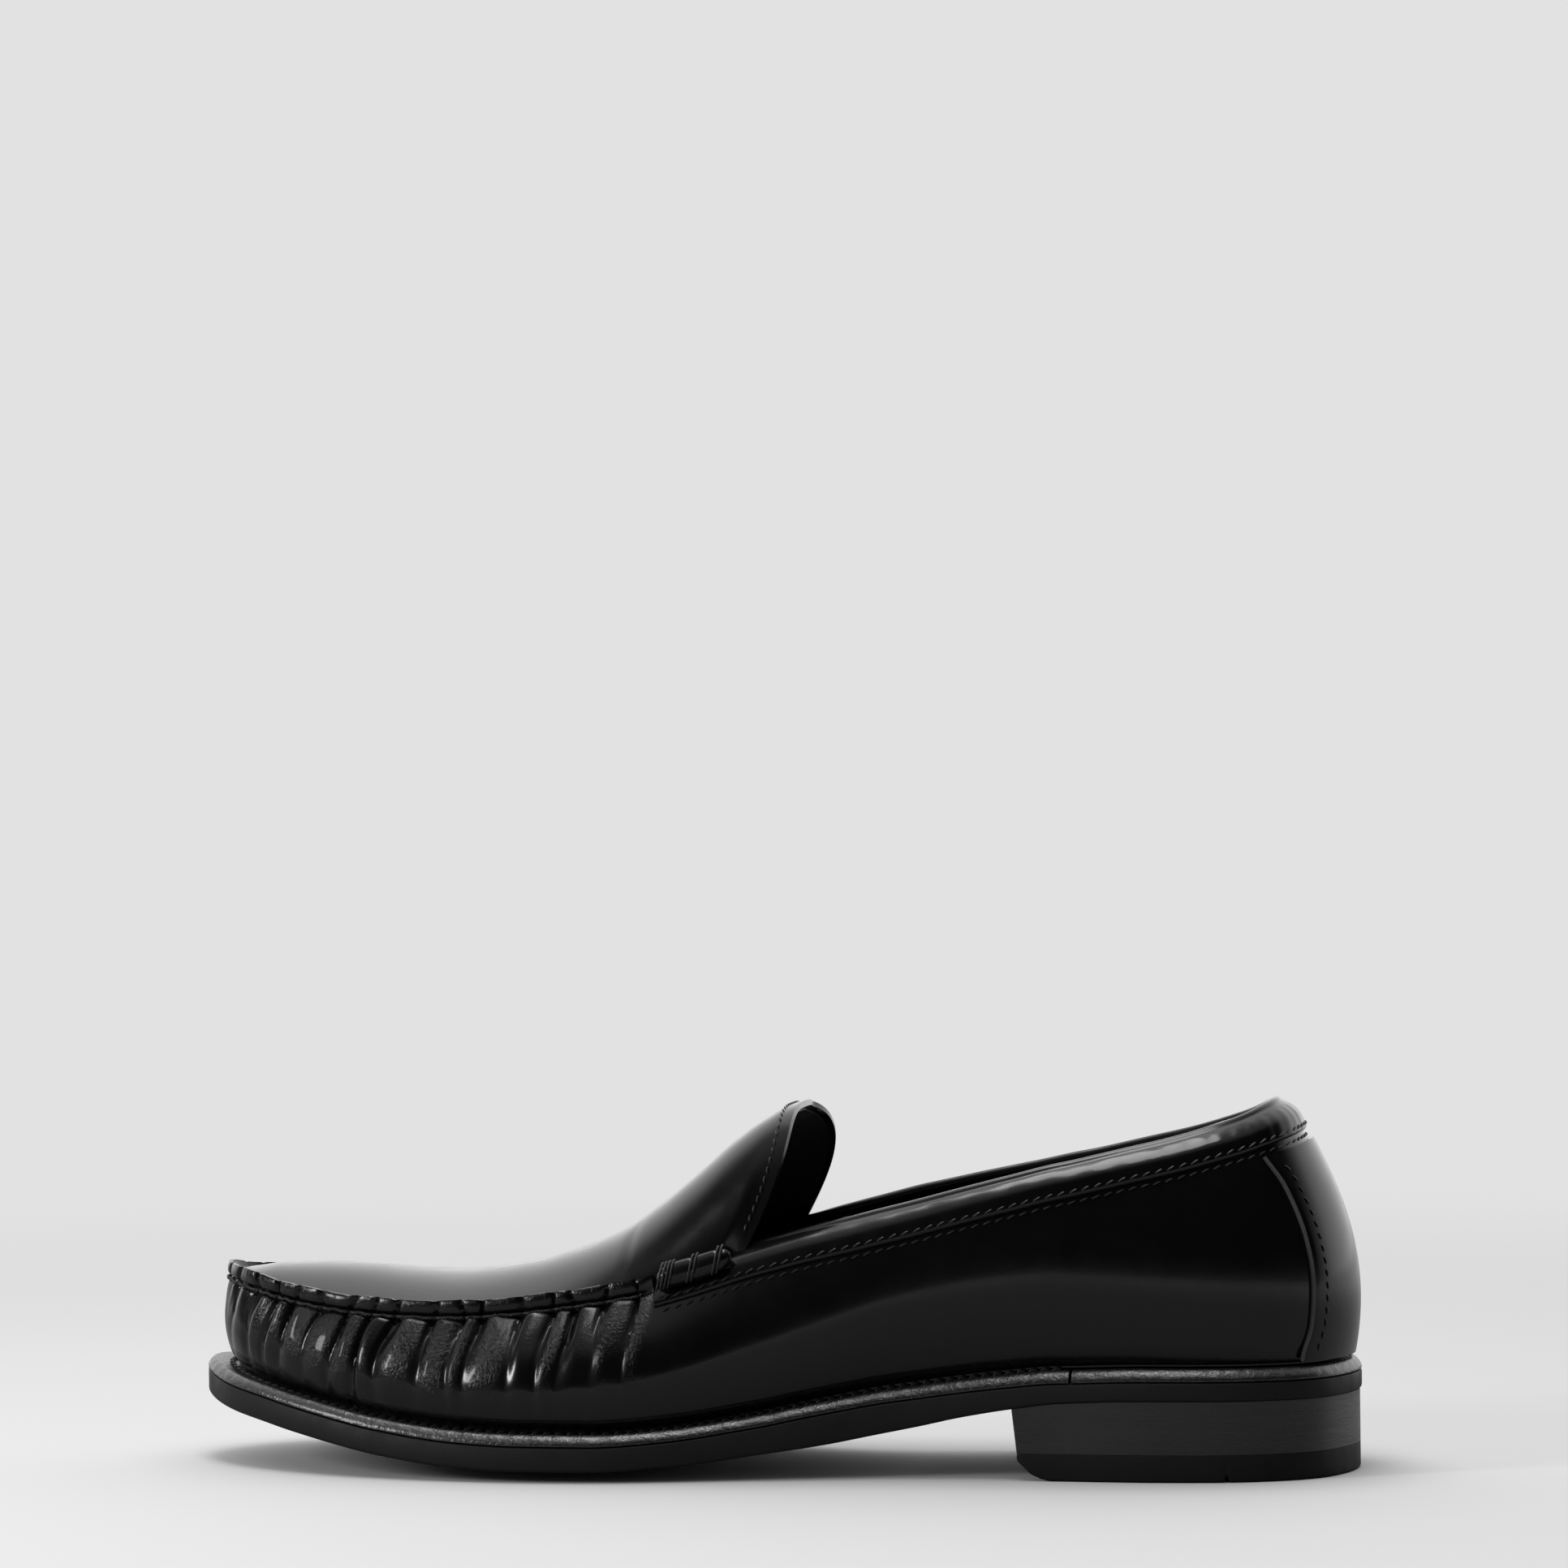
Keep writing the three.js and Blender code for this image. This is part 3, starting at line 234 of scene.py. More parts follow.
def station_where(u, low, high):
    """Station on one side of the shoe where the sole's edge is at u."""
    ts = np.linspace(low, high, 400)
    us = column(ts, 0)
    if us[-1] < us[0]:
        ts, us = ts[::-1], us[::-1]
    return float(np.interp(u, us, ts))


# ---------------------------------------------------------------- heights of the bottom layers

def crown(u, v):
    lateral, medial = side_at(LATERAL_SIDE, u), side_at(MEDIAL_SIDE, u)
    half = np.maximum((medial - lateral) / 2, 6)
    share = np.clip(np.abs(v - (medial + lateral) / 2) / half, 0, 1)
    return profile(CROWN, u) * share**2


def underside_centre(u):
    return HEEL_HEIGHT * profile(HEEL_RISE, u) + TOE_SPRING * profile(TOE_RISE, u)


def sole_thickness(u):
    plain = mix(HEEL_SEAT_SOLE, FOREPART_SOLE, np.clip((u - 85) / 70, 0, 1))
    return plain + WAIST_THICKENING * profile(WAIST, u)


def underside(u, v):
    return underside_centre(u) + crown(u, v)


def outsole_top(u, v):
    return underside(u, v) + sole_thickness(u)


def welt_top(u, v):
    return outsole_top(u, v) + GAP + WELT_THICKNESS


def feather_level(u, v):
    return welt_top(u, v) + GAP


def insole_bottom(u, v):
    return feather_level(u, v) + WALL_THICKNESS + GAP


def sock_bottom(u, v):
    return insole_bottom(u, v) + INSOLE_THICKNESS + GAP


# ---------------------------------------------------------------- placing in the frame

def frame_offset():
    """Shift, in mm, from the shoe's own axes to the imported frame, from the outsole's box."""
    low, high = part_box("outsole")
    ts = np.linspace(0, ROUND, 1441)
    u, v = sole_edge(ts)
    x = (low.x + high.x) / 2 / MM - (OUTSOLE_LENGTH / 2 - (u.min() + u.max()) / 2)
    y = (low.y + high.y) / 2 / MM - (v.min() + v.max()) / 2
    return np.array([x, y, 0.0])


OFFSET = frame_offset()


def place(u, v, z):
    """Points in the shoe's axes as x, y, z in millimetres, before the frame's shift."""
    u, v, z = np.broadcast_arrays(u, v, z)
    return np.stack([OUTSOLE_LENGTH / 2 - u, v, z], axis=-1)


# ---------------------------------------------------------------- surface of the upper's wall

def drop(t, distance):
    """Height share of the wall that lies `distance` mm below its top edge."""
    return 1 - distance / column(t, 5)


def forepart_share(t):
    t = np.mod(t, ROUND)
    lateral = smoothstep(*RIDGE_SPAN[0], t)
    medial = 1 - smoothstep(*RIDGE_SPAN[1], t)
    return np.where(t <= TOE, lateral, medial)


def leaning_wall(t, h):
    t, h = grids(t, h)
    foot_u, foot_v = feather(t)
    nu, nv = inward(t)
    swell = column(t, 6) * np.sin(np.pi * np.maximum(h, 0) ** 0.9)
    u = mix(foot_u, column(t, 3), h) - nu * swell
    v = mix(foot_v, column(t, 4), h) - nv * swell
    return place(u, v, feather_level(foot_u, foot_v) + column(t, 5) * h)


def wall_surface(t, h):
    """Outer face of the wall; round the forepart its top strip stands upright as the ridge."""
    t, h = grids(t, h)
    ridge_foot = drop(t, RIDGE_HEIGHT)
    leaning = leaning_wall(t, h)
    upright = leaning_wall(t, ridge_foot)
    upright[..., 2] += (h - ridge_foot) * column(t, 5)
    share = np.where(h > ridge_foot, forepart_share(t), 0.0)[..., None]
    return leaning + (upright - leaning) * share


def wall_directions(t, h):
    """Unit outward and upward directions of the wall."""
    around = wall_surface(t + 0.04, h) - wall_surface(t - 0.04, h)
    low = np.maximum(h - 0.02, 0)
    up = unit(wall_surface(t, low + 0.04) - wall_surface(t, low))
    outward = unit(np.cross(around, up))
    nu, nv = inward(t)
    wrong = outward[..., 0] * nu - outward[..., 1] * nv < 0
    outward[wrong] *= -1
    return outward, up


def wall_point(t, h, depth=0.0, rise=0.0):
    t, h = grids(t, h)
    outward, up = wall_directions(t, h)
    depth = np.broadcast_to(depth, t.shape)[..., None]
    rise = np.broadcast_to(rise, t.shape)[..., None]
    return wall_surface(t, h) - outward * depth + up * rise


# ---------------------------------------------------------------- mesh helpers

def grid_quads(rows, columns, loop=False, start=0):
    i = np.arange(rows if loop else rows - 1)[:, None]
    k = np.arange(columns - 1)[None, :]
    j = (i + 1) % rows
    quads = np.stack([i * columns + k, i * columns + k + 1, j * columns + k + 1, j * columns + k], -1)
    return quads.reshape(-1, 4) + start


def signed_volume(points, quads):
    a, b, c, d = [points[quads[:, i]] for i in range(4)]
    return (np.einsum("ij,ij->i", a, np.cross(b, c)) + np.einsum("ij,ij->i", a, np.cross(c, d))).sum()


def slab(outer, inner, loop=False):
    """Closed sheet between two grids of points; `loop` joins the last row to the first."""
    rows, columns = outer.shape[:2]
    count = rows * columns
    points = np.concatenate([outer.reshape(-1, 3), inner.reshape(-1, 3)])
    faces = [grid_quads(rows, columns, loop), grid_quads(rows, columns, loop, count)[:, ::-1]]
    i = np.arange(rows if loop else rows - 1)
    j = (i + 1) % rows
    for k in (0, columns - 1):
        near, far = i * columns + k, j * columns + k
        side = np.stack([near, far, count + far, count + near], -1)
        faces.append(side if k == 0 else side[:, ::-1])
    if not loop:
        k = np.arange(columns - 1)
        for row in (0, rows - 1):
            a = row * columns
            end = np.stack([a + k, count + a + k, count + a + k + 1, a + k + 1], -1)
            faces.append(end if row == 0 else end[:, ::-1])
    return points, np.concatenate(faces)


def new_object(name, data):
    thing = bpy.data.objects.new(name, data)
    bpy.context.scene.collection.objects.link(thing)
    return thing


def add_mesh(name, body, look, *stands_for, sharp=35.0, wrinkle=None):
    """A visible piece from a body in mm; it rides on the shoe and stands for CAD nodes."""
    points, quads = body
    material, slot = look
    if signed_volume(points, quads) < 0:
        quads = quads[:, ::-1]
    mesh = bpy.data.meshes.new(name)
    mesh.from_pydata((points + OFFSET) * MM, [], quads)
    if wrinkle is not None:
        layer = mesh.attributes.new("wrinkle", "FLOAT", "POINT")
        layer.data.foreach_set("value", wrinkle.astype(np.float32))
    mesh.validate()
    mesh.shade_smooth()
    mesh.set_sharp_from_angle(angle=math.radians(sharp))
    mesh.materials.append(material)
    piece = new_object(name, mesh)
    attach(piece, "root")
    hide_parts(*stands_for)
    return piece


def tube(points, away, radius, sides=6, taper=0.0):
    """Round tube through points; `away` gives the outward direction at each point."""
    points, away = np.asarray(points, float), np.asarray(away, float)
    forward = unit(np.gradient(points, axis=0))
    side = unit(np.cross(forward, away))
    out = np.cross(side, forward)
    angles = 2 * np.pi * np.arange(sides) / sides
    share = np.linspace(-1, 1, len(points))
    sizes = radius * (1 - taper * np.abs(share) ** 4)
    rings = (
        points[:, None]
        + side[:, None] * (np.sin(angles)[None, :, None] * sizes[:, None, None])
        + out[:, None] * (np.cos(angles)[None, :, None] * sizes[:, None, None])
    )
    faces = grid_quads(len(points), sides + 1)
    row, col = faces // (sides + 1), faces % (sides + 1)
    faces = row * sides + col % sides
    last = (len(points) - 1) * sides
    caps = []
    for k in range(1, sides - 2, 2):
        caps.append([0, k, k + 1, k + 2])
        caps.append([last, last + k + 2, last + k + 1, last + k])
    return rings.reshape(-1, 3), np.concatenate([faces, np.array(caps)])


def join(bodies):
    points, faces, start = [], [], 0
    for body_points, body_faces in bodies:
        points.append(body_points)
        faces.append(body_faces + start)
        start += len(body_points)
    return np.concatenate(points), np.concatenate(faces)


def resample(path, away, spacing):
    """The path and its outward directions at even spacing along it."""
    steps = np.linalg.norm(np.diff(path, axis=0), axis=1)
    along = np.concatenate([[0], np.cumsum(steps)])
    count = max(int(round(along[-1] / spacing)), 2) + 1
    at = np.linspace(0, along[-1], count)
    return along_path(at, along, path), unit(along_path(at, along, away)), at


def stitch_row(path, away, pitch, length, radius, lean=0.12, sunk=0.25):
    """Separate short stitches along a path, each dipping into the leather at both ends."""
    path, away, at = resample(path, away, 0.25)
    bodies = []
    for start in np.arange(pitch * 0.5, at[-1] - length, pitch):
        where = start + np.linspace(0, length, 7)
        point = along_path(where, at, path)
        out = along_path(where, at, away)
        forward = point[-1] - point[0]
        side = np.cross(out, forward / np.linalg.norm(forward))
        share = np.linspace(-1, 1, 7)
        point = point + side * (share * lean * length)[:, None]
        point = point + out * (radius * 0.9 - (radius + sunk) * np.abs(share)[:, None] ** 4)
        bodies.append(tube(point, out, radius, 6, 0.35))
    return join(bodies)


def rope(path, away, radius, twist, strands=2):
    """Twisted thread along a path."""
    path, away, at = resample(path, away, 0.22)
    side = unit(np.cross(unit(np.gradient(path, axis=0)), away))
    bodies = []
    for strand in range(strands):
        angle = 2 * np.pi * (at / twist + strand / strands)
        offset = side * np.cos(angle)[:, None] + away * np.sin(angle)[:, None]
        bodies.append(tube(path + offset * radius * 0.5, away, radius * 0.58, 6))
    return join(bodies)


def add_stitches(name, path, away, stands_for, pitch, length, radius, lean=0.12):
    add_mesh(name, stitch_row(path, away, pitch, length, radius, lean), THREAD, stands_for)


# ---------------------------------------------------------------- materials

def map_range(nodes, links, value, low, high, out_low, out_high):
    """Node output that passes softly between two numbers as `value` goes from low to high."""
    node = nodes.new("ShaderNodeMapRange")
    node.interpolation_type = "SMOOTHSTEP"
    numbers = {"From Min": low, "From Max": high, "To Min": out_low, "To Max": out_high}
    for key, number in numbers.items():
        node.inputs[key].default_value = number
    links.new(value, node.inputs["Value"])
    return node.outputs["Result"]


class Finish:
    """A node material with object coordinates in metres, built up step by step."""

    def __init__(self, name):
        self.material = bpy.data.materials.new(name)
        self.material.use_nodes = True
        self.nodes = self.material.node_tree.nodes
        self.links = self.material.node_tree.links
        self.shader = self.nodes["Principled BSDF"]
        self.where = self.nodes.new("ShaderNodeTexCoord").outputs["Object"]

    def stretched(self, scale):
        mapping = self.nodes.new("ShaderNodeMapping")
        mapping.inputs["Scale"].default_value = scale
        self.links.new(self.where, mapping.inputs["Vector"])
        return mapping.outputs["Vector"]

    def noise(self, scale, detail=3.0, roughness=0.5, vector=None, distortion=0.0):
        node = self.nodes.new("ShaderNodeTexNoise")
        node.inputs["Scale"].default_value = scale
        node.inputs["Detail"].default_value = detail
        node.inputs["Roughness"].default_value = roughness
        node.inputs["Distortion"].default_value = distortion
        self.links.new(vector or self.where, node.inputs["Vector"])
        return node.outputs["Fac"]

    def cells(self, scale):
        node = self.nodes.new("ShaderNodeTexVoronoi")
        node.inputs["Scale"].default_value = scale
        self.links.new(self.where, node.inputs["Vector"])
        return node.outputs["Distance"]

    def spread(self, value, low, high, out_low, out_high):
        return map_range(self.nodes, self.links, value, low, high, out_low, out_high)

    def product(self, a, b):
        node = self.nodes.new("ShaderNodeMath")
        node.operation = "MULTIPLY"
        for socket, value in zip(node.inputs, (a, b)):
            if isinstance(value, float):
                socket.default_value = value
            else:
                self.links.new(value, socket)
        return node.outputs[0]

    def colour(self, value, low, high):
        node = self.nodes.new("ShaderNodeMix")
        node.data_type = "RGBA"
        node.inputs["A"].default_value = (*low, 1)
        node.inputs["B"].default_value = (*high, 1)
        self.links.new(value, node.inputs["Factor"])
        self.links.new(node.outputs["Result"], self.shader.inputs["Base Color"])

    def roughness(self, value, low, high):
        self.links.new(self.spread(value, 0.3, 0.7, low, high), self.shader.inputs["Roughness"])

    def bump(self, height, distance_mm, below=None):
        node = self.nodes.new("ShaderNodeBump")
        node.inputs["Distance"].default_value = distance_mm * MM
        self.links.new(height, node.inputs["Height"])
        if below is not None:
            self.links.new(below, node.inputs["Normal"])
        self.links.new(node.outputs["Normal"], self.shader.inputs["Normal"])
        return node.outputs["Normal"]

    def attribute(self, name):
        node = self.nodes.new("ShaderNodeAttribute")
        node.attribute_name = name
        return node.outputs["Fac"]

    def set(self, **values):
        for key, value in values.items():
            socket = key.replace("_", " ").title().replace("Ior", "IOR")
            self.shader.inputs[socket].default_value = value

    def one_texture(self, texture, dark, light, rough, relief_mm):
        """The same texture for shade, roughness and relief."""
        self.colour(texture, dark, light)
        self.roughness(texture, *rough)
        self.bump(texture, relief_mm)
        return self.material


def box_calf(name, wrinkled=False):
    """Polished black calf: soft waves, faint pores, and fine creases where it is gathered."""
    finish = Finish(name)
    cloudy = finish.noise(55, 4, 0.55)
    finish.colour(cloudy, (0.0022, 0.0022, 0.0024), (0.0042, 0.0042, 0.0045))
    finish.roughness(finish.noise(130, 5, 0.6), 0.17, 0.23)
    finish.set(coat_weight=0.15, coat_roughness=0.09, specular_ior_level=0.32)
    waves = finish.bump(finish.noise(38, 2, 0.4), 0.05)
    pores = finish.bump(finish.noise(2600, 2, 0.5), 0.012, waves)
    if wrinkled:
        thin = finish.stretched((1.6, 1.6, 1.0))
        creases = finish.noise(900, 4, 0.62, thin, 0.6)
        height = finish.product(creases, finish.attribute("wrinkle"))
        finish.bump(height, 0.95, pores)
    return finish.material


def lining_leather():
    finish = Finish("lining_leather")
    finish.colour(finish.noise(160, 4), (0.006, 0.0058, 0.0056), (0.011, 0.0105, 0.010))
    finish.roughness(finish.noise(240, 4), 0.45, 0.62)
    grain = finish.bump(finish.cells(1300), 0.05)
    finish.bump(finish.noise(900, 4), 0.04, grain)
    return finish.material


def welting():
    """Pebbled welting: raised glossy grains with matt valleys."""
    finish = Finish("welt_leather")
    pebbles = finish.noise(1050, 3, 0.55, distortion=0.6)
    finish.colour(finish.noise(300, 3), (0.005, 0.005, 0.0055), (0.009, 0.009, 0.0095))
    finish.roughness(pebbles, 0.36, 0.26)
    finish.set(specular_ior_level=1.0)
    broad = finish.bump(finish.noise(380, 2, 0.5), 0.10)
    finish.bump(pebbles, 0.16, broad)
    return finish.material


def stacked_leather():
    """Stained stacked lifts: fine level cut lines and a faint waxy sheen."""
    finish = Finish("stack_leather")
    layers = finish.stretched((0.10, 0.10, 1.0))
    lines = finish.noise(2300, 3, 0.6, layers)
    broad = finish.noise(420, 2, 0.5, layers)
    finish.colour(lines, (0.004, 0.004, 0.004), (0.016, 0.0155, 0.015))
    finish.roughness(broad, 0.36, 0.50)
    finish.set(specular_ior_level=0.8)
    cuts = finish.bump(lines, 0.07)
    finish.bump(finish.noise(1500, 3), 0.03, cuts)
    return finish.material


def sole_rubber():
    finish = Finish("sole_rubber")
    finish.colour(finish.noise(90, 5, 0.6), (0.007, 0.007, 0.0074), (0.0105, 0.0105, 0.011))
    finish.roughness(finish.noise(200, 4), 0.50, 0.62)
    finish.set(specular_ior_level=0.25)
    grains = finish.bump(finish.noise(2400, 3), 0.035)
    finish.bump(finish.noise(35, 3, 0.5, finish.stretched((0.25, 0.25, 1.6))), 0.10, grains)
    return finish.material


def waxed_thread():
    finish = Finish("waxed_thread")
    fibres = finish.noise(5200, 4, 0.6)
    return finish.one_texture(fibres, (0.003,) * 3, (0.014,) * 3, (0.36, 0.55), 0.05)


def cut_edge():
    """Raw cut edge of black leather, lighter and rougher than its face."""
    finish = Finish("cut_edge")
    fibres = finish.noise(2400, 5, 0.7)
    return finish.one_texture(fibres, (0.02, 0.0195, 0.019), (0.11, 0.105, 0.10), (0.45, 0.7), 0.12)


def pressed_cork():
    finish = Finish("pressed_cork")
    crumbs = finish.cells(420)
    finish.colour(finish.spread(crumbs, 0.1, 0.7, 0.0, 1.0), (0.42, 0.26, 0.14), (0.20, 0.11, 0.055))
    finish.roughness(crumbs, 0.75, 0.95)
    finish.bump(crumbs, 0.3)
    return finish.material


def leather_board():
    finish = Finish("leather_board")
    fibres = finish.noise(700, 6, 0.7)
    return finish.one_texture(fibres, (0.24, 0.15, 0.08), (0.42, 0.28, 0.16), (0.7, 0.9), 0.12)


def spring_steel():
    finish = Finish("spring_steel")
    finish.set(metallic=1.0)
    brushed = finish.noise(900, 4, 0.6, finish.stretched((0.05, 1.0, 1.0)))
    return finish.one_texture(brushed, (0.30, 0.32, 0.36), (0.46, 0.48, 0.52), (0.28, 0.42), 0.01)


# Each look is a material and a slot name; the slot name is not used.
CALF = (box_calf("upper_leather"), "upper_leather")
GATHERED = (box_calf("gathered_leather", wrinkled=True), "upper_leather")
LINING = (lining_leather(), "lining_leather")
WELTING = (welting(), "welt_leather")
STACK = (stacked_leather(), "stack_leather")
RUBBER = (sole_rubber(), "sole_rubber")
THREAD = (waxed_thread(), "thread")
RAW_EDGE = cut_edge()
CORK = pressed_cork()
BOARD = leather_board()
HIDDEN = {
    "forepart_filler": CORK,
    "heel_filler": CORK,
    "insole_board": BOARD,
    "heel_counter": BOARD,
    "toe_puff": BOARD,
    "shank": spring_steel(),
}


# ---------------------------------------------------------------- folds of the gathered wall

FOLD_SPACING = 7.6
fold_t = np.linspace(FOLDS_START[0], FOLDS_START[1], 2400)
fold_line = leaning_wall(fold_t, drop(fold_t, RIDGE_HEIGHT))
FOLD_ARC = np.concatenate([[0], np.cumsum(np.linalg.norm(np.diff(fold_line, axis=0), axis=1))])
TOE_ARC = float(np.interp(TOE, fold_t, FOLD_ARC))
random = np.random.default_rng(11)
fold_count = int(FOLD_ARC[-1] / FOLD_SPACING)
FOLD_AT = (np.arange(fold_count) + 0.5) * FOLD_ARC[-1] / fold_count
FOLD_AT += random.uniform(-2.0, 2.0, fold_count)
FOLD_DEPTH = random.uniform(0.7, 2.4, fold_count)
FOLD_LENGTH = random.uniform(6, 20, fold_count)
FOLD_WIDTH = random.uniform(0.10, 0.20, fold_count)
FOLD_SKEW = random.uniform(-0.1, 0.75, fold_count)
PUFF_HEIGHT = random.uniform(0.3, 1.6, fold_count + 1)
PUFF_LENGTH = random.uniform(8, 16, fold_count + 1)
CREASE_SHARE = random.uniform(0.1, 1.0, fold_count + 1) ** 1.5
PLEAT_FULL = random.uniform(0.35, 0.75, fold_count)
PLEAT_TILT = random.uniform(-0.35, 0.5, fold_count)
# How often the fine folds come for each large one, and how high they are.
FINE_FOLDS = [(0.9, 0.075), (1.55, 0.045)]
FINE_FOLD_LENGTH = 7
FOLD_LEAN = 0.42
LEAN_REACH = 13
TOE_HOLLOW = 1.5
NOTCH_DEPTH = 0.7
NOTCH_WIDTH = 0.075
PLEAT_OVERLAP = 0.35
SEAM_GROOVE = 0.95
SEAM_GROOVE_WIDTH = 0.75
RIDGE_CREASING = 0.12


def fold_phase(arc):
    """Fold number along the seam: a whole number at each valley."""
    return np.interp(arc, FOLD_AT, np.arange(fold_count), left=-0.6, right=fold_count - 0.4)


def nearest_valley(phase):
    """Number of the valley nearest to a place, and how far off it is, in folds."""
    nearest = np.round(phase)
    return np.clip(nearest, 0, fold_count - 1).astype(int), phase - nearest


def fold_ends(t):
    """Nought where the rolls begin and one along the gathered forepart."""
    rear = smoothstep(FOLDS_START[0] - 0.06, FOLDS_START[0] + 0.08, t)
    return rear * smoothstep(FOLDS_START[1] + 0.06, FOLDS_START[1] - 0.08, t)


def gathers(arc, depth, from_toe):
    """Relief of the leather below the seam and how finely it is creased."""
    side = np.sign(from_toe)
    off_toe = np.abs(from_toe)
    lean = FOLD_LEAN * smoothstep(0, 14, off_toe) * (1 - 0.72 * smoothstep(40, 100, off_toe))
    slide = lean * side * LEAN_REACH * (1 - np.exp(-depth / LEAN_REACH))
    phase = fold_phase(arc - slide + 0.4 * np.sin(depth * 0.22 + arc * 0.31))
    step = np.mod(phase, 1.0)

    nearest, away = nearest_valley(phase)
    skewed = away * (1 + FOLD_SKEW[nearest] * np.sign(away) * side)
    width = FOLD_WIDTH[nearest] * (1 + depth / 20)
    valley = FOLD_DEPTH[nearest] * np.cos(np.pi * away) ** 2 * np.exp(-((skewed / width) ** 2))
    valley *= np.exp(-((depth / FOLD_LENGTH[nearest]) ** 1.4))

    which = np.clip(np.floor(phase) + 1, 0, fold_count).astype(int)
    shape = np.sin(np.pi * step ** (1 + 0.5 * side)) ** 1.3
    puff = PUFF_HEIGHT[which] * shape * np.exp(-((depth / PUFF_LENGTH[which]) ** 1.2))
    waves = [
        size * np.sin(2 * np.pi * (phase * often + 0.2 * np.sin(depth * 0.5)))
        for often, size in FINE_FOLDS
    ]
    fine = sum(waves) * np.exp(-((depth / FINE_FOLD_LENGTH) ** 2))
    hollow = TOE_HOLLOW * np.exp(-((from_toe / 40) ** 2)) * np.exp(-((depth / 18) ** 2))
    patch = CREASE_SHARE[which] * np.sin(np.pi * step) * mix(0.25, 1, smoothstep(20, 60, off_toe))
    return puff - valley - hollow + fine, patch * np.exp(-((depth / 16) ** 2))


def pleats(arc, below, from_toe):
    """Relief of the upright ridge: a row of small pillows parted by notches."""
    side = np.sign(from_toe)
    height = np.clip(-below, 0, RIDGE_HEIGHT)
    nearest, _ = nearest_valley(fold_phase(arc))
    phase = fold_phase(arc + PLEAT_TILT[nearest] * height * side)
    _, away = nearest_valley(phase)
    step = np.mod(phase, 1.0)
    which = np.clip(np.floor(phase), 0, fold_count - 1).astype(int)
    notch = NOTCH_DEPTH * np.exp(-((away / NOTCH_WIDTH) ** 2))
    pillow = PLEAT_FULL[which] * np.sqrt(np.clip(1 - (2 * np.abs(step - 0.5)) ** 2, 0, 1))
    rounded = np.clip(np.sin(np.pi * height / RIDGE_HEIGHT), 0, 1) ** 0.5
    overlap = PLEAT_OVERLAP * (0.5 - step) * side * (height / RIDGE_HEIGHT) ** 0.5
    return pillow * rounded + overlap - notch


def folds(t, h):
    """How far the leather stands out of the smooth wall, in mm, and how creased it is there."""
    below = (drop(t, RIDGE_HEIGHT) - h) * column(t, 5)
    arc = np.interp(t, fold_t, FOLD_ARC)
    from_toe = TOE_ARC - arc
    gathered, crease = gathers(arc, np.clip(below, 0, None), from_toe)
    on_ridge = smoothstep(0.45, -0.45, below)
    groove = SEAM_GROOVE * np.exp(-((below / SEAM_GROOVE_WIDTH) ** 2))
    out = mix(gathered, pleats(arc, below, from_toe), on_ridge) - groove
    return out * fold_ends(t), mix(crease, RIDGE_CREASING, on_ridge) * fold_ends(t)


# How far the ridge's edge dips round the toe, at each station.
TOE_RIDGE_DIP = [
    (6, 0), (11.2, 0), (12, 0.7), (12.8, 1.7), (14, 1.9), (15.2, 0.6), (16.5, 0), (18, 0),
]
WALL_UNDER_BINDING = 5.6
BACK_SEAM = 0.004
FOOT_TUCK = 0.7
RIDGE_THINNING = 0.8


def ridge_edge(t):
    """Unevenness of the ridge's top edge, in mm, and its dip round the toe."""
    phase = fold_phase(np.interp(t, fold_t, FOLD_ARC))
    _, away = nearest_valley(phase)
    wavy = 0.16 * np.sin(phase * 2.3) - 0.25 * np.exp(-((away / 0.1) ** 2))
    return fold_ends(t) * (wavy - profile(TOE_RIDGE_DIP, t))


def in_roll(t):
    lateral = (t > LATERAL_ROLL[0] - 0.04) & (t < LATERAL_ROLL[1] + 0.03)
    medial = (t > MEDIAL_ROLL[1] - 0.03) & (t < MEDIAL_ROLL[0] + 0.04)
    return lateral | medial


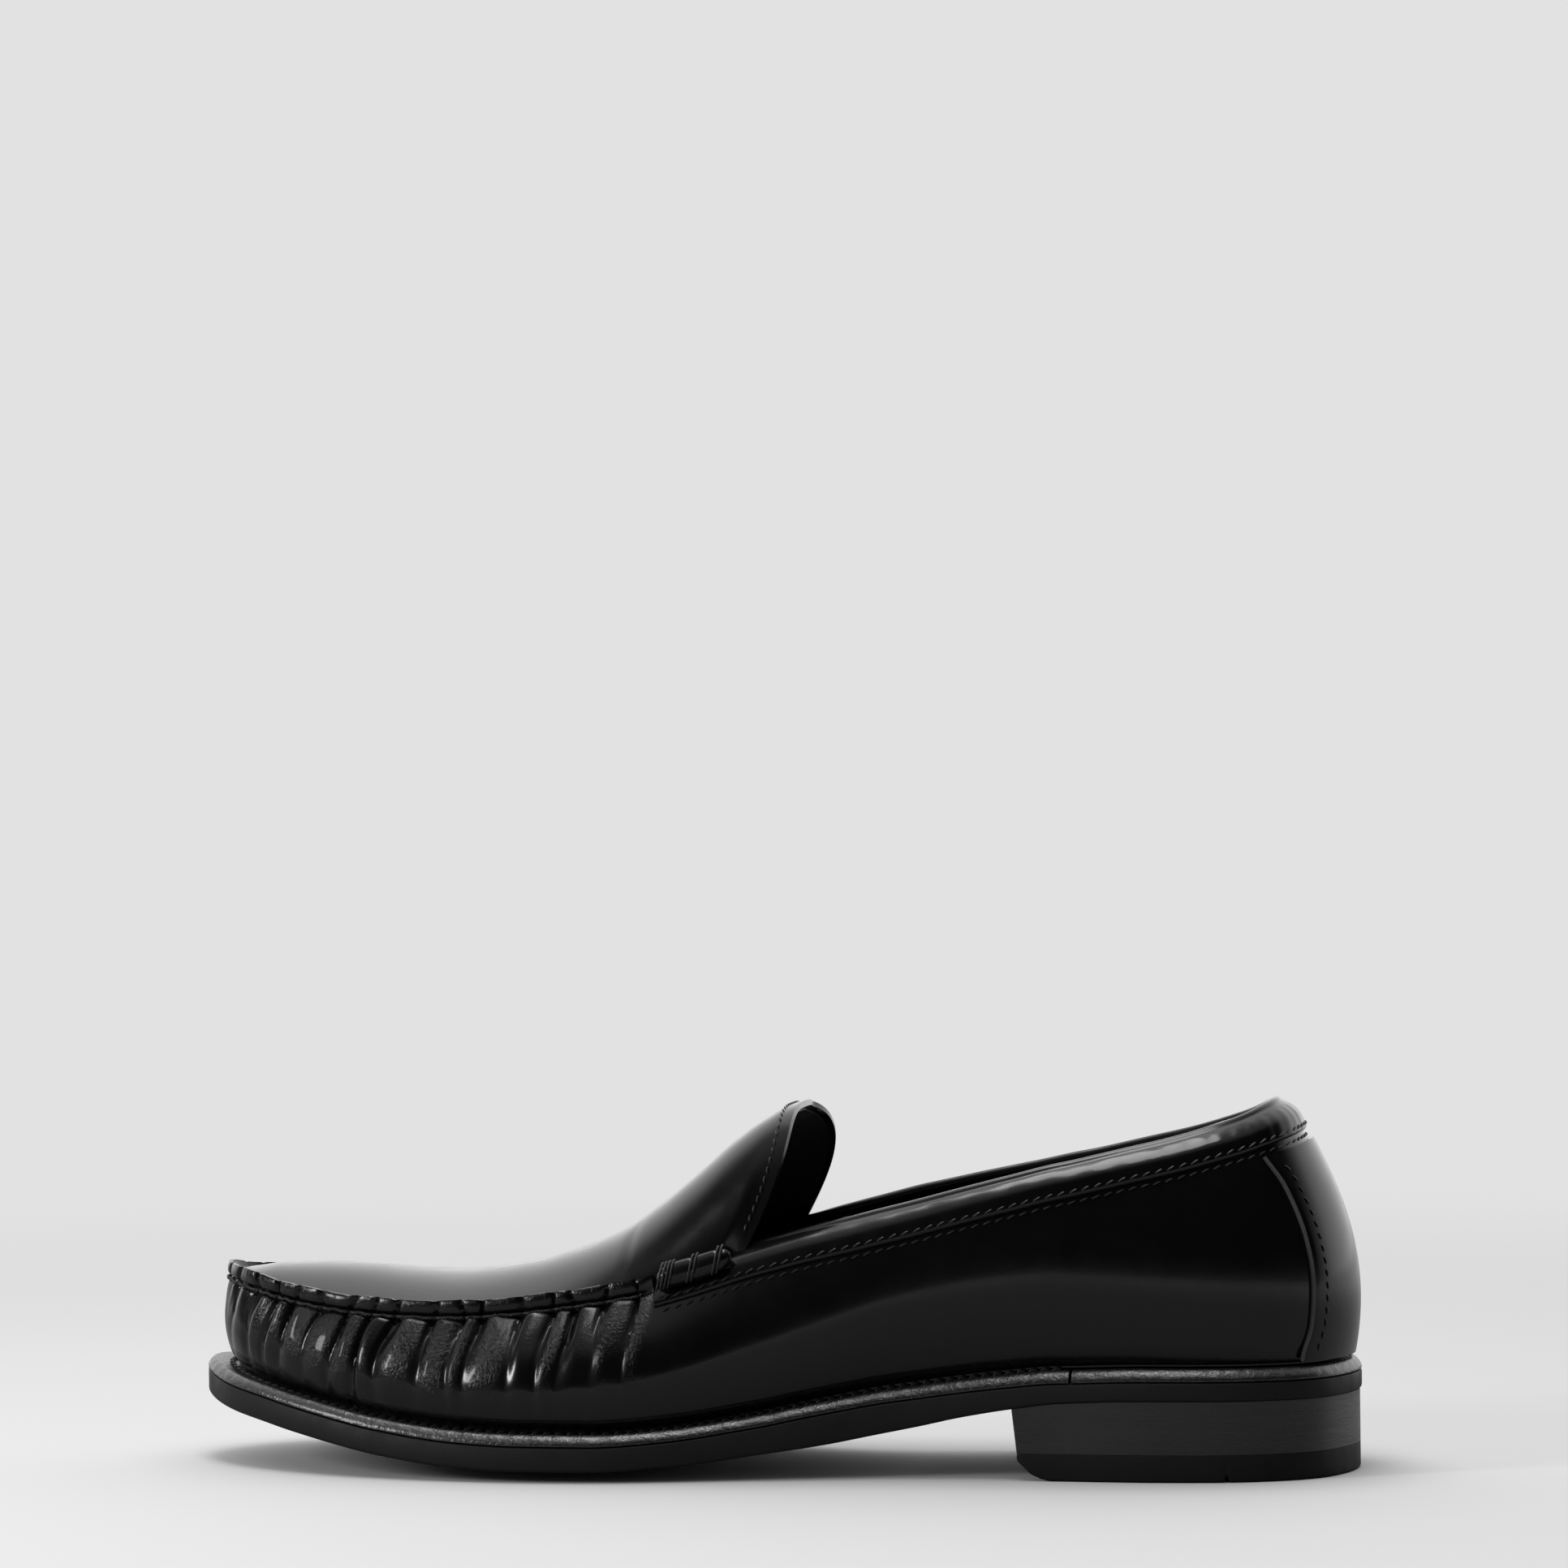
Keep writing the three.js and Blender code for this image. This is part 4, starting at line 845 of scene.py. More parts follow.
def build_wall():
    """The wall of the upper, gathered along the seam and pleated into the upright ridge."""
    rear = np.arange(BACK_SEAM, 5.98, 0.035)
    fore = np.arange(5.98, 18.24, 0.0165)
    medial = np.append(np.arange(18.24, 23.99, 0.035), ROUND - BACK_SEAM)
    t = np.concatenate([rear, fore, medial])[:, None]
    under_binding = (t < LATERAL_ROLL[0]) | (t > MEDIAL_ROLL[0])
    top = np.where(in_roll(t), drop(t, ROLL_DROP), 1.0)
    top = np.where(under_binding, drop(t, WALL_UNDER_BINDING), top)
    foot = drop(t, RIDGE_HEIGHT)
    ridge = np.linspace(0, 1, 11)[None, :]
    below = np.linspace(0, 1, 66)[None, 1:] ** 1.15
    upper = mix(top, np.minimum(foot, top - 0.01), ridge)
    lower = mix(upper[:, -1:], BACK_SEAM, below)
    h = np.concatenate([upper, lower], axis=1)
    t = np.broadcast_to(t, h.shape)
    out, crease = folds(t, h)
    tuck = FOOT_TUCK * smoothstep(0.10, 0.0, h)
    rise = np.where(h > 0.9, ridge_edge(t) * (h - foot) / (1 - foot), 0.0)
    outer = wall_point(t, h, -out + tuck, rise)
    thin = RIDGE_THINNING * smoothstep(0.0, 1.0, (h - foot) / (1 - foot)) * fold_ends(t)
    inner = wall_point(t, h, WALL_THICKNESS - thin, rise)
    wall = slab(outer, inner)

    around = np.arange(BACK_SEAM, ROUND, 0.04)[:, None]
    reach = column(around, 2) + np.array([0.9, 5.0, 9.0])[None]
    u, v = inset(around, reach)
    level = feather_level(u, v) + 0.05
    margin = slab(place(u, v, level + WALL_THICKNESS - 0.1), place(u, v, level), loop=True)
    crease = np.concatenate([crease.ravel(), np.zeros(crease.size + len(margin[0]))])
    add_mesh("vamp_wall_leather", join([wall, margin]), GATHERED, "vamp_wall", sharp=50, wrinkle=crease)


# ---------------------------------------------------------------- apron and tongue

TONGUE_LEAN = 9.5
TONGUE_BULGE = 4.6
APRON_SEAT = 1.5
TONGUE_STITCH_INSET = 3.3
# Matching stations of the apron's two edges, from the toe back to the tongue.
APRON_LATERAL = np.array([
    34 / 3, 11, 32 / 3, 31 / 3, 10, 29 / 3, 28 / 3, 9, 8.5, 8, 7.5, 7.15, 6.76, 6.45, 6.15,
])
APRON_MEDIAL = np.array([
    38 / 3, 13, 40 / 3, 41 / 3, 14, 43 / 3, 44 / 3, 15, 15.5, 16, 16.5, 17, 17.38, 17.75, 18.06,
])
CREASE_DEPTH = 0.28
CREASE_PLACE = 0.80
CREASE_WIDTH = 0.006
CAP_ROWS = 8


def apron_edge(t):
    return wall_point(t, drop(t, RIDGE_HEIGHT - APRON_SEAT), WALL_THICKNESS + GAP)


def apron_surface(rows=170, columns=121):
    """Grid of the apron from the toe seam back to the tongue's free edge."""
    at = np.linspace(0, len(APRON_LATERAL) - 1, rows)
    index = np.arange(len(APRON_LATERAL))
    left = apron_edge(np.interp(at, index, APRON_LATERAL))[:, None]
    right = apron_edge(np.interp(at, index, APRON_MEDIAL))[:, None]
    seam_u = OUTSOLE_LENGTH / 2 - (left[..., 0] + right[..., 0]) / 2
    toward = 1 - smoothstep(150, 205, seam_u)
    crest_u = seam_u - TONGUE_LEAN * toward**2
    crest_z = underside_centre(crest_u) + sole_thickness(crest_u) + WELT_THICKNESS + 2 * GAP
    crest_z = crest_z + profile(CREST, crest_u)
    share = np.linspace(0, 1, columns)[None, :]
    across = mix(2 * share - 1, -np.cos(np.pi * share), mix(0.55, 0.9, toward))
    arch = np.maximum(1 - np.abs(across) ** mix(2.2, 3.6, toward), 0) ** mix(1, 0.5, toward)
    lean = np.sin(np.pi / 2 * arch) ** 0.9
    points = left + (right - left) * ((across + 1) / 2)[..., None]
    points[..., 0] = mix(points[..., 0], OUTSOLE_LENGTH / 2 - crest_u, lean)
    points[..., 2] = mix(points[..., 2], crest_z, arch)
    bulge = np.sin(np.pi * np.clip((2 * share - 1.3) / 0.7, 0, 1))
    points[..., 0] += TONGUE_BULGE * bulge * smoothstep(0.45, 1.0, toward)
    toe = apron_edge(np.linspace(APRON_LATERAL[0], APRON_MEDIAL[0], columns))[None]
    blend = np.linspace(0, 1, CAP_ROWS + 1)[:-1, None, None]
    cap = toe + (points[:1] - toe) * blend
    return np.concatenate([cap, points])


def grid_normals(grid):
    along = np.gradient(grid, axis=0)
    across = np.gradient(grid, axis=1)
    normal = np.cross(across, along)
    length = np.linalg.norm(normal, axis=-1, keepdims=True)
    return normal / np.maximum(length, 1e-9)


APRON = apron_surface()
APRON_NORMAL = grid_normals(APRON)
if APRON_NORMAL[80, 60, 2] < 0:
    APRON_NORMAL = -APRON_NORMAL
APRON_NORMAL[:CAP_ROWS + 1] = APRON_NORMAL[CAP_ROWS + 1]


def inside_free_edge(grid, distance):
    """Points of a grid at an even distance in from its last row."""
    back = grid[::-1]
    gone = np.cumsum(np.linalg.norm(np.diff(APRON[::-1], axis=0), axis=2), axis=0)
    gone = np.concatenate([np.zeros((1, grid.shape[1])), gone])
    return np.array([along_path(distance, gone[:, k], back[:, k]) for k in range(grid.shape[1])])


def build_apron():
    rows, columns = APRON.shape[:2]
    row = np.arange(rows)[:, None] / rows
    share = np.linspace(-1, 1, columns)[None, :]
    from_crease = row - CREASE_PLACE - 0.05 * (share + 0.5) ** 2
    crease = CREASE_DEPTH * np.exp(-((from_crease / CREASE_WIDTH) ** 2))
    crease = crease * smoothstep(-0.25, -0.5, share) * smoothstep(-0.92, -0.75, share)
    outer = APRON - APRON_NORMAL * crease[..., None]
    inner = APRON - APRON_NORMAL * APRON_THICKNESS
    add_mesh("apron_leather", slab(outer, inner), CALF, "apron")
    under = (APRON - APRON_NORMAL * (APRON_THICKNESS + 0.05))[6:-2, 4:-4]
    deeper = (APRON - APRON_NORMAL * (APRON_THICKNESS + 0.85))[6:-2, 4:-4]
    add_mesh("apron_lining_leather", slab(under, deeper), LINING, "apron_lining")

    row_path = inside_free_edge(APRON, TONGUE_STITCH_INSET)[4:-4]
    row_away = inside_free_edge(APRON_NORMAL, TONGUE_STITCH_INSET)[4:-4]
    add_stitches("tongue_stitches", row_path + row_away * 0.05, row_away, "tongue_thread", 2.6, 1.9, 0.26)


# ---------------------------------------------------------------- collar, strap and lining

BINDING_ROLL = 2.3
BINDING_ROLL_DROP = 5.0
BINDING_BULGE = 0.35
BINDING_CREST = 1.6
BINDING_TAILS = ((COLLAR_END[0] - 0.06, 6.74), (-6.53, COLLAR_END[1] - 23.94))
TAIL_DROPS = np.array([BINDING_OUTER_LEG, 7.9, 7.2, 6.2, 5.2, 4.4])
TAIL_LIFTS = np.array([0.35, 0.95, 1.1, 1.1, 1.0, 0.9])


def build_binding():
    """Folded strip rolled over the collar edge, with a thick shoulder above its outer leg."""
    inner_edge = WALL_THICKNESS + LINING_THICKNESS + 2 * GAP + BINDING_THICKNESS
    leg = np.linspace(1, 0, 22)
    shoulder = BINDING_ROLL * (1 - np.clip(leg * BINDING_OUTER_LEG / BINDING_ROLL_DROP, 0, 1)) ** 1.8
    bulge = BINDING_BULGE * np.sin(np.pi * np.clip(leg * 1.1, 0, 1)) ** 0.8
    outer_depth = shoulder - (GAP + BINDING_THICKNESS) - bulge
    outer_depth[:2] += (0.55, 0.08)
    middle = (inner_edge + outer_depth[-1]) / 2
    radius = (inner_edge - outer_depth[-1]) / 2
    turn = np.linspace(0, np.pi, 13)[1:-1]
    flat = np.zeros(8)

    def section(inset_by):
        """Depths and rises of the folded strip's line, `inset_by` mm inside its face."""
        bend = middle - (radius - inset_by) * np.cos(turn)
        depth = np.concatenate([outer_depth + inset_by, bend, flat + inner_edge - inset_by])
        rise = np.concatenate([0 * leg, (BINDING_CREST - inset_by) * np.sin(turn), flat])
        return depth[None], rise[None]

    t = np.arange(COLLAR_END[1] - ROUND, COLLAR_END[0] + 0.02, 0.04)[:, None]
    inner_leg = np.linspace(0, BINDING_INNER_LEG, len(flat))
    h = drop(t, np.concatenate([leg * BINDING_OUTER_LEG, 0 * turn, inner_leg])[None])
    depth, rise = section(0.0)
    waver = 0.05 * np.sin(t * 9.1) + 0.04 * np.sin(t * 23.7 + 1)
    outer = wall_point(t, h, depth - waver * (depth < 0), rise)
    inner = wall_point(t, h, *section(BINDING_THICKNESS - 0.05))
    bodies = [slab(outer, inner)]
    for ends in BINDING_TAILS:
        t = np.linspace(*ends, 30)[:, None]
        h = drop(t, TAIL_DROPS[None])
        bodies.append(slab(wall_point(t, h, -TAIL_LIFTS[None]), wall_point(t, h, 0.0)))
    add_mesh("topline_binding_leather", join(bodies), CALF, "topline_binding", sharp=60)


def wall_row(stations, distance, clear):
    """Path on the wall below its top edge and the wall's outward directions along it."""
    t = np.asarray(stations, float)
    h = drop(t, distance)
    outward, _ = wall_directions(t, h)
    return wall_point(t, h, -clear), outward


def build_collar_stitches():
    stations = np.arange(-6.5, 6.72, 0.02)
    rows = (
        ("upper", BINDING_OUTER_LEG - COLLAR_ROW_OFFSET, GAP + BINDING_THICKNESS + 0.05, 0.16),
        ("lower", BINDING_OUTER_LEG + COLLAR_ROW_OFFSET, 0.0, 0.12),
    )
    for row, distance, clear, lean in rows:
        path, out = wall_row(stations, distance, clear)
        add_stitches(f"collar_stitches_{row}", path, out, f"collar_thread_{row}", 3.1, 2.2, 0.24, lean)


# Half width of the strap, in stations, from its foot to its top.
STRAP_EDGE = [(0, 1.33), (0.15, 1.2), (0.35, 1.15), (0.5, 1.18), (0.7, 1.31), (0.85, 1.56), (1, 1.8)]
STRAP_STITCH_INSET = 0.2


def strap_place(across, share):
    """Station and height of a point of the strap, from -1 to 1 across it and 0 to 1 up it."""
    up = np.broadcast_to(share, np.broadcast(across, share).shape)
    t = across * profile(STRAP_EDGE, up * (1 - STRAP_TOP_DROP / STATIONS[0, 5]))
    return t, mix(1.0 / column(t, 5), drop(t, STRAP_TOP_DROP), up)


def build_strap():
    """Strip over the back seam: smooth face, raw cut edges and a row of stitches along each edge."""
    rows, columns = 105, 60
    t, h = strap_place(np.linspace(-1, 1, rows)[:, None], np.linspace(0, 1, columns)[None, :])
    edge = np.abs(np.linspace(-1, 1, rows))[:, None]
    thick = GAP + STRAP_THICKNESS - 0.5 * smoothstep(0.955, 1.0, edge)
    outer = wall_point(t, h, -np.broadcast_to(thick, h.shape))
    inner = wall_point(t, h, -0.05)
    strap = add_mesh("back_strap_leather", slab(outer, inner), CALF, "back_strap", sharp=40)
    strap.data.materials.append(RAW_EDGE)
    edge_rows = {0, 1, rows - 2, rows - 1}
    for face in strap.data.polygons:
        if all((corner % (rows * columns)) // columns in edge_rows for corner in face.vertices):
            face.material_index = 1
    for name, side in (("strap_stitches_lateral", 1), ("strap_stitches_medial", -1)):
        share = np.linspace(0.02, 0.98, 90)
        edge_t, _ = strap_place(np.full(90, side), share)
        t = edge_t - side * STRAP_STITCH_INSET
        h = mix(1.0 / column(t, 5), drop(t, STRAP_TOP_DROP), share)
        outward, _ = wall_directions(t, h)
        path = wall_point(t, h, -(GAP + STRAP_THICKNESS))
        add_stitches(name, path, outward, name.replace("stitches", "thread"), 3.1, 2.1, 0.22, 0.1)


def stiffened_share(t, h):
    u = column(t, 0)
    zone = np.maximum(np.maximum(1 - smoothstep(84, 104, u), smoothstep(225, 243, u)), 0.4)
    return zone * (1 - smoothstep(0.68, 0.84, h))


def build_linings():
    """Lining of the wall and sock over the insole."""
    t = np.arange(0, ROUND, 0.1)[:, None]
    high = mix(0.985, 0.7, forepart_share(t))
    low = (WALL_THICKNESS + 1.8) / column(t, 5)
    h = mix(low, high, np.linspace(0, 1, 30)[None, :])
    t = np.broadcast_to(t, h.shape)
    depth = WALL_THICKNESS + GAP + (STIFFENER_THICKNESS + GAP) * stiffened_share(t, h)
    lining = slab(wall_point(t, h, depth), wall_point(t, h, depth + LINING_THICKNESS), loop=True)
    add_mesh("wall_lining_leather", lining, LINING, "wall_lining")
    sock_inset = WALL_THICKNESS + STIFFENER_THICKNESS + LINING_THICKNESS + 3 * GAP + 0.7

    def outline(t):
        return feather(t, sock_inset)

    def top(u, v):
        return sock_bottom(u, v) + SOCK_THICKNESS

    sock = pad(outline, sock_bottom, top, SOCK_EDGE)
    add_mesh("sock_leather", sock, LINING, "sock_liner")


# ---------------------------------------------------------------- sole and heel

# How far in from the rim, down from the top and up from the bottom each line of an edge lies.
SOCK_EDGE = [(0, 0.5, 0.4), (0.4, 0.15, 0.1), (1.2, 0, 0)]
SOLE_EDGE = [(0.0, 0.55, 0.9), (0.12, 0.25, 0.45), (0.4, 0.06, 0.15), (0.9, 0.0, 0.0)]
LIFT_EDGE = [(0.0, 0.0, 0.0), (0.15, 0.0, 0.0)]
TOP_LIFT_EDGE = [(0.0, 0.15, 0.8), (0.1, 0.04, 0.4), (0.35, 0.0, 0.12), (0.8, 0.0, 0.0)]
SPINE = (35, 262)
PAD_SHARES = (1.0, 0.8, 0.6, 0.4, 0.25, 0.12, 0.05)
LIFT_SHARES = (0.999, 0.7, 0.4, 0.15)
LIFT_MIDDLE = (40.0, 0.0)


def layer_body(rim, into, centre, low, high, edge, shares, setback=0.0):
    """Closed flat layer, from the middle of its underside round its edge to the middle of its top.

    `setback` moves the rim of the underside back towards the heel.
    """
    rings = []

    def ring(distance, share, level, shift):
        back = setback if level is low else 0.0
        u = mix(rim[0] + into[0] * distance - back, centre[0], share)
        v = mix(rim[1] + into[1] * distance, centre[1], share)
        rings.append(place(u, v, level(u, v) + shift))

    innermost = edge[-1][0]
    for share in shares:
        ring(innermost, share, low, 0)
    for distance, _, up in reversed(edge):
        ring(distance, 0, low, up)
    for distance, down, _ in edge:
        ring(distance, 0, high, -down)
    for share in reversed(shares):
        ring(innermost, share, high, 0)
    grid = np.stack(rings, axis=1)
    return grid.reshape(-1, 3), grid_quads(grid.shape[0], grid.shape[1], True)


def pad(outline, low, high, edge):
    """Layer under the whole foot, closed along a line down its middle."""
    t = np.arange(0, ROUND, 0.05)
    rim = outline(t)
    centre_u = np.clip(rim[0], *SPINE)
    centre_v = (side_at(LATERAL_SIDE, centre_u) + side_at(MEDIAL_SIDE, centre_u)) / 2
    return layer_body(rim, inward(t), (centre_u, centre_v), low, high, edge, PAD_SHARES)


def build_outsole():
    outsole = pad(sole_edge, underside, outsole_top, SOLE_EDGE)
    add_mesh("outsole_rubber", outsole, RUBBER, "outsole", sharp=50)


def welt_strip(stations):
    """Welt section: rounded outer bevel, level top with a groove at the feather line, flat underneath."""
    t = np.asarray(stations)[:, None]
    margin = column(t, 2)
    inset_by = np.array([0.0, 0.02, 0.12, 0.4, 0.8, 1.25, 1.75, 2.2, 2.6])[None]
    fall = np.array([2.95, 2.6, 2.25, 1.75, 1.2, 0.7, 0.3, 0.08, 0.0])[None]
    line = np.array([-0.9, -0.5, -0.1, 0.5, 8.6])[None]
    groove = np.array([0.0, 0.25, 0.55, 0.3, 0.0])[None]
    distance = np.concatenate([np.broadcast_to(inset_by, (len(t), 9)), margin + line], axis=1)
    down = np.broadcast_to(np.concatenate([fall, groove], axis=1), distance.shape)
    ripple = 0.05 * np.sin(t * 31.0) * (down > 0.2)
    u, v = inset(t, distance)
    top = place(u, v, welt_top(u, v) - down + ripple)
    bottom = place(u, v, welt_top(u, v) - WELT_THICKNESS)
    return slab(top, bottom)


# Half the opening between the welt and the heel rand, in stations.
JOINT_GAP = 0.007


def build_welts():
    lateral = station_where(WELT_JOINT, 2, 6)
    medial = station_where(WELT_JOINT, 18, 22)
    welt = welt_strip(np.arange(lateral + JOINT_GAP, medial - JOINT_GAP, 0.022))
    add_mesh("welt_strip", welt, WELTING, "welt", sharp=45)
    rand = welt_strip(np.arange(medial + JOINT_GAP, lateral + ROUND - JOINT_GAP, 0.022))
    add_mesh("heel_rand_strip", rand, WELTING, "heel_rand", sharp=45)
    t = np.arange(lateral + 0.03, medial - 0.03, 0.02)
    u, v = inset(t, column(t, 2) - 0.75)
    path = place(u, v, welt_top(u, v) - 0.05)
    up = np.tile([0.0, 0.0, 1.0], (len(t), 1))
    add_stitches("welt_stitches", path, up, "welt_thread", 3.0, 2.0, 0.34, 0.25)


BREAST_POINTS = 22
HEEL_NOTCH = 31


def lift_body(low, high, front, edge, rake=0.0):
    """Heel layer with a D-shaped outline: the heel's curve closed by the straight breast."""
    lateral = station_where(front, 2, 6)
    medial = station_where(front, 18, 22)
    curve = np.linspace(medial, lateral + ROUND, 520)
    u, v = inset(curve, HEEL_INSET)
    nu, nv = inward(curve)
    across = np.linspace(v[-1], v[0], BREAST_POINTS + 2)[1:-1]
    ends_u = np.linspace(u[-1], u[0], BREAST_POINTS + 2)[1:-1]
    u = np.concatenate([u, ends_u])
    v = np.concatenate([v, across])
    nu = np.concatenate([nu, np.full(BREAST_POINTS, -1.0)])
    nv = np.concatenate([nv, np.zeros(BREAST_POINTS)])
    for corner, sign in ((len(curve) - 1, 1), (0, -1)):
        nu[corner] = -0.7
        nv[corner] = 0.7 * sign
    setback = rake * smoothstep(front - 6, front, u)
    return layer_body((u, v), (nu, nv), LIFT_MIDDLE, low, high, edge, LIFT_SHARES, setback)


def build_heel():
    """Stack of leather lifts over the rubber top lift, with its rounded front corner."""
    floor = TOP_LIFT_THICKNESS + 0.05
    for number in range(1, LIFT_COUNT + 1):
        bottom_share = (LIFT_COUNT - number) / LIFT_COUNT
        top_share = (LIFT_COUNT - number + 1) / LIFT_COUNT
        front = HEEL_BREAST - BREAST_RAKE * (number - 1)

        def low(u, v, share=bottom_share):
            return mix(floor, underside(u, v), share)

        def high(u, v, share=top_share):
            return mix(floor, underside(u, v), share) - 0.01

        lift = lift_body(low, high, front, LIFT_EDGE, BREAST_RAKE)
        add_mesh(f"heel_lift_{number}_leather", lift, STACK, f"heel_lift_{number}", sharp=30)

    front = HEEL_BREAST - BREAST_RAKE * LIFT_COUNT

    def nose(u, v):
        rise = np.interp(u, [front - 8.7, front - 6, front - 3.3, front], [0, 0.5, 1.7, 5.0])
        notch = 1.6 * np.exp(-(((u - HEEL_NOTCH) / 0.45) ** 4)) * (v < -28)
        return rise + notch

    def top(u, v):
        return np.full(np.shape(u), TOP_LIFT_THICKNESS)

    add_mesh("top_lift_rubber", lift_body(nose, top, front, TOP_LIFT_EDGE), RUBBER, "top_lift", sharp=40)


# ---------------------------------------------------------------- side rolls and seam thread

def roll_frame(t):
    nu, nv = inward(t)
    out = np.stack([nu, -nv, np.zeros_like(nu)], -1)
    centre = leaning_wall(t, drop(t, RIDGE_HEIGHT)) + out * 1.6
    centre[..., 2] = leaning_wall(t, drop(t, ROLL_DROP))[..., 2] + ROLL_HALF_HEIGHT + GAP + 0.1
    return centre, out


def roll_point(t, angle, scale=1.0, extra=0.0):
    t, angle = grids(t, angle)
    centre, out = roll_frame(t)
    width = (ROLL_HALF_WIDTH * scale + extra) * np.cos(angle)
    height = (ROLL_HALF_HEIGHT * scale + extra) * np.sin(angle)
    return centre + out * width[..., None] + np.array([0, 0, 1.0]) * height[..., None]


# Stations of a lashing's turns of thread, from its middle.
FRONT_TURNS = (-0.05, -0.022, 0.006, 0.034)
PLAIN_TURNS = (-0.016, 0.016)
SEAM_SAG = 0.35


def build_roll(side, ends, lashings, lean):
    """Rolled strip of leather held against the collar's front end by three bands of thread."""
    share = np.linspace(0, 1, 72)[:, None]
    t = mix(ends[0], ends[1], share)
    angle = np.linspace(0, 2 * np.pi, 33)[None, :]
    size = np.maximum(1 - np.abs(2 * share - 1) ** 5, 0) ** 0.5
    squeeze = sum(np.exp(-(((t - at) / 0.022) ** 2)) for at in lashings)
    layer_step = 0.10 * smoothstep(0.0, 0.25, np.mod(angle / (2 * np.pi) * 2 + 0.6, 1.0))
    grow = size * (0.93 - 0.07 * squeeze + layer_step * 0.7)
    points = roll_point(t, angle, grow)
    body = (points.reshape(-1, 3), grid_quads(*points.shape[:2]))
    add_mesh(f"side_roll_{side}_leather", body, CALF, f"side_roll_{side}", sharp=50)
    for number, at in enumerate(lashings, 1):
        bodies = []
        for shift in FRONT_TURNS if number == 1 else PLAIN_TURNS:
            turn = np.linspace(-0.95, 2.35, 40)
            station = at + shift + lean * (np.linspace(0, 1, 40) - 0.5)
            path = roll_point(station, turn, 0.93, 0.32)
            out = roll_point(station, turn, 0.93, 1.3) - path
            bodies.append(rope(path, unit(out), 0.34, 1.5))
        name = f"{side}_lashing_{number}"
        add_mesh(f"{name}_thread", join(bodies), THREAD, name, sharp=60)


def build_seam_thread():
    """Heavy twisted thread drawn along the foot of the ridge, dipping at each fold."""
    t = np.arange(FOLDS_START[0] + 0.05, FOLDS_START[1] - 0.05, 0.01)
    _, away = nearest_valley(fold_phase(np.interp(t, fold_t, FOLD_ARC)))
    sag = SEAM_SAG * np.sin(np.pi * np.clip(np.abs(away) * 2, 0, 1))
    h = drop(t, RIDGE_HEIGHT + sag)
    outward, _ = wall_directions(t, h)
    proud = 0.25 - 0.75 * np.exp(-((away / 0.09) ** 2))
    path = wall_point(t, h, -proud)
    add_mesh("apron_seam_rope", rope(path, outward, 0.42, 1.9), THREAD, "apron_seam_thread", sharp=60)


# ---------------------------------------------------------------- building the shoe

build_wall()
build_apron()
build_binding()
build_collar_stitches()
build_strap()
build_linings()
build_outsole()
build_welts()
build_heel()
build_roll("lateral", LATERAL_ROLL, (6.67, 6.46, 6.27), -0.07)
build_roll("medial", MEDIAL_ROLL, (17.54, 17.75, 17.94), 0.07)
build_seam_thread()

for node, material in HIDDEN.items():
    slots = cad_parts[node].data.materials
    slots.clear()
    slots.append(material)


# ---------------------------------------------------------------- camera

SENSOR_WIDTH = 36.0
LENS_LENGTH = 134.236
CAMERA_DISTANCE = 1.5
CAMERA_AZIMUTH = math.radians(10)
CAMERA_ELEVATION = math.radians(5.5)
CAMERA_ROLL = math.radians(-0.7)
# Where the shoe's middle falls on the sensor, in mm from its centre.
TARGET_OFF_CENTRE = (-0.26087, -11.51553)


def add_camera():
    """Long-lens camera a little above the shoe, which stands low in the frame."""
    azimuth, elevation = CAMERA_AZIMUTH, CAMERA_ELEVATION
    back = Vector((
        math.sin(azimuth) * math.cos(elevation),
        -math.cos(azimuth) * math.cos(elevation),
        math.sin(elevation),
    ))
    right = Vector((math.cos(azimuth), math.sin(azimuth), 0))
    up = back.cross(right)
    side = right * math.cos(CAMERA_ROLL) + up * math.sin(CAMERA_ROLL)
    top = up * math.cos(CAMERA_ROLL) - right * math.sin(CAMERA_ROLL)
    facing = Matrix((side, top, back)).transposed()
    toward = Vector((*TARGET_OFF_CENTRE, -LENS_LENGTH)).normalized()
    aim = Vector((0, 0, -1)).rotation_difference(toward).to_matrix()
    turned = facing @ aim.transposed()
    target = Vector((OFFSET[0] * MM, OFFSET[1] * MM, 0.045))
    data = bpy.data.cameras.new("camera")
    data.sensor_width = SENSOR_WIDTH
    data.lens = LENS_LENGTH
    data.clip_end = 50
    camera = new_object("camera", data)
    camera.matrix_world = Matrix.Translation(target + back * CAMERA_DISTANCE) @ turned.to_4x4()
    bpy.context.scene.camera = camera


# ---------------------------------------------------------------- floor and light

BACKDROP = 0.76
FLOOR_COLOUR = 0.50
FLOOR_GLOW = 0.14
FLOOR_BOUNCE = 0.28
# Metres from the middle of the floor.
FLOOR_RADII = np.array([0.0, 0.3, 1.0, 6.0])
FLOOR_FADE = (0.30, 0.9)
# Reach, in metres, of the painted contact shadow that dims the floor's glow near the shoe.
CONTACT_SHADE_REACH = 0.03


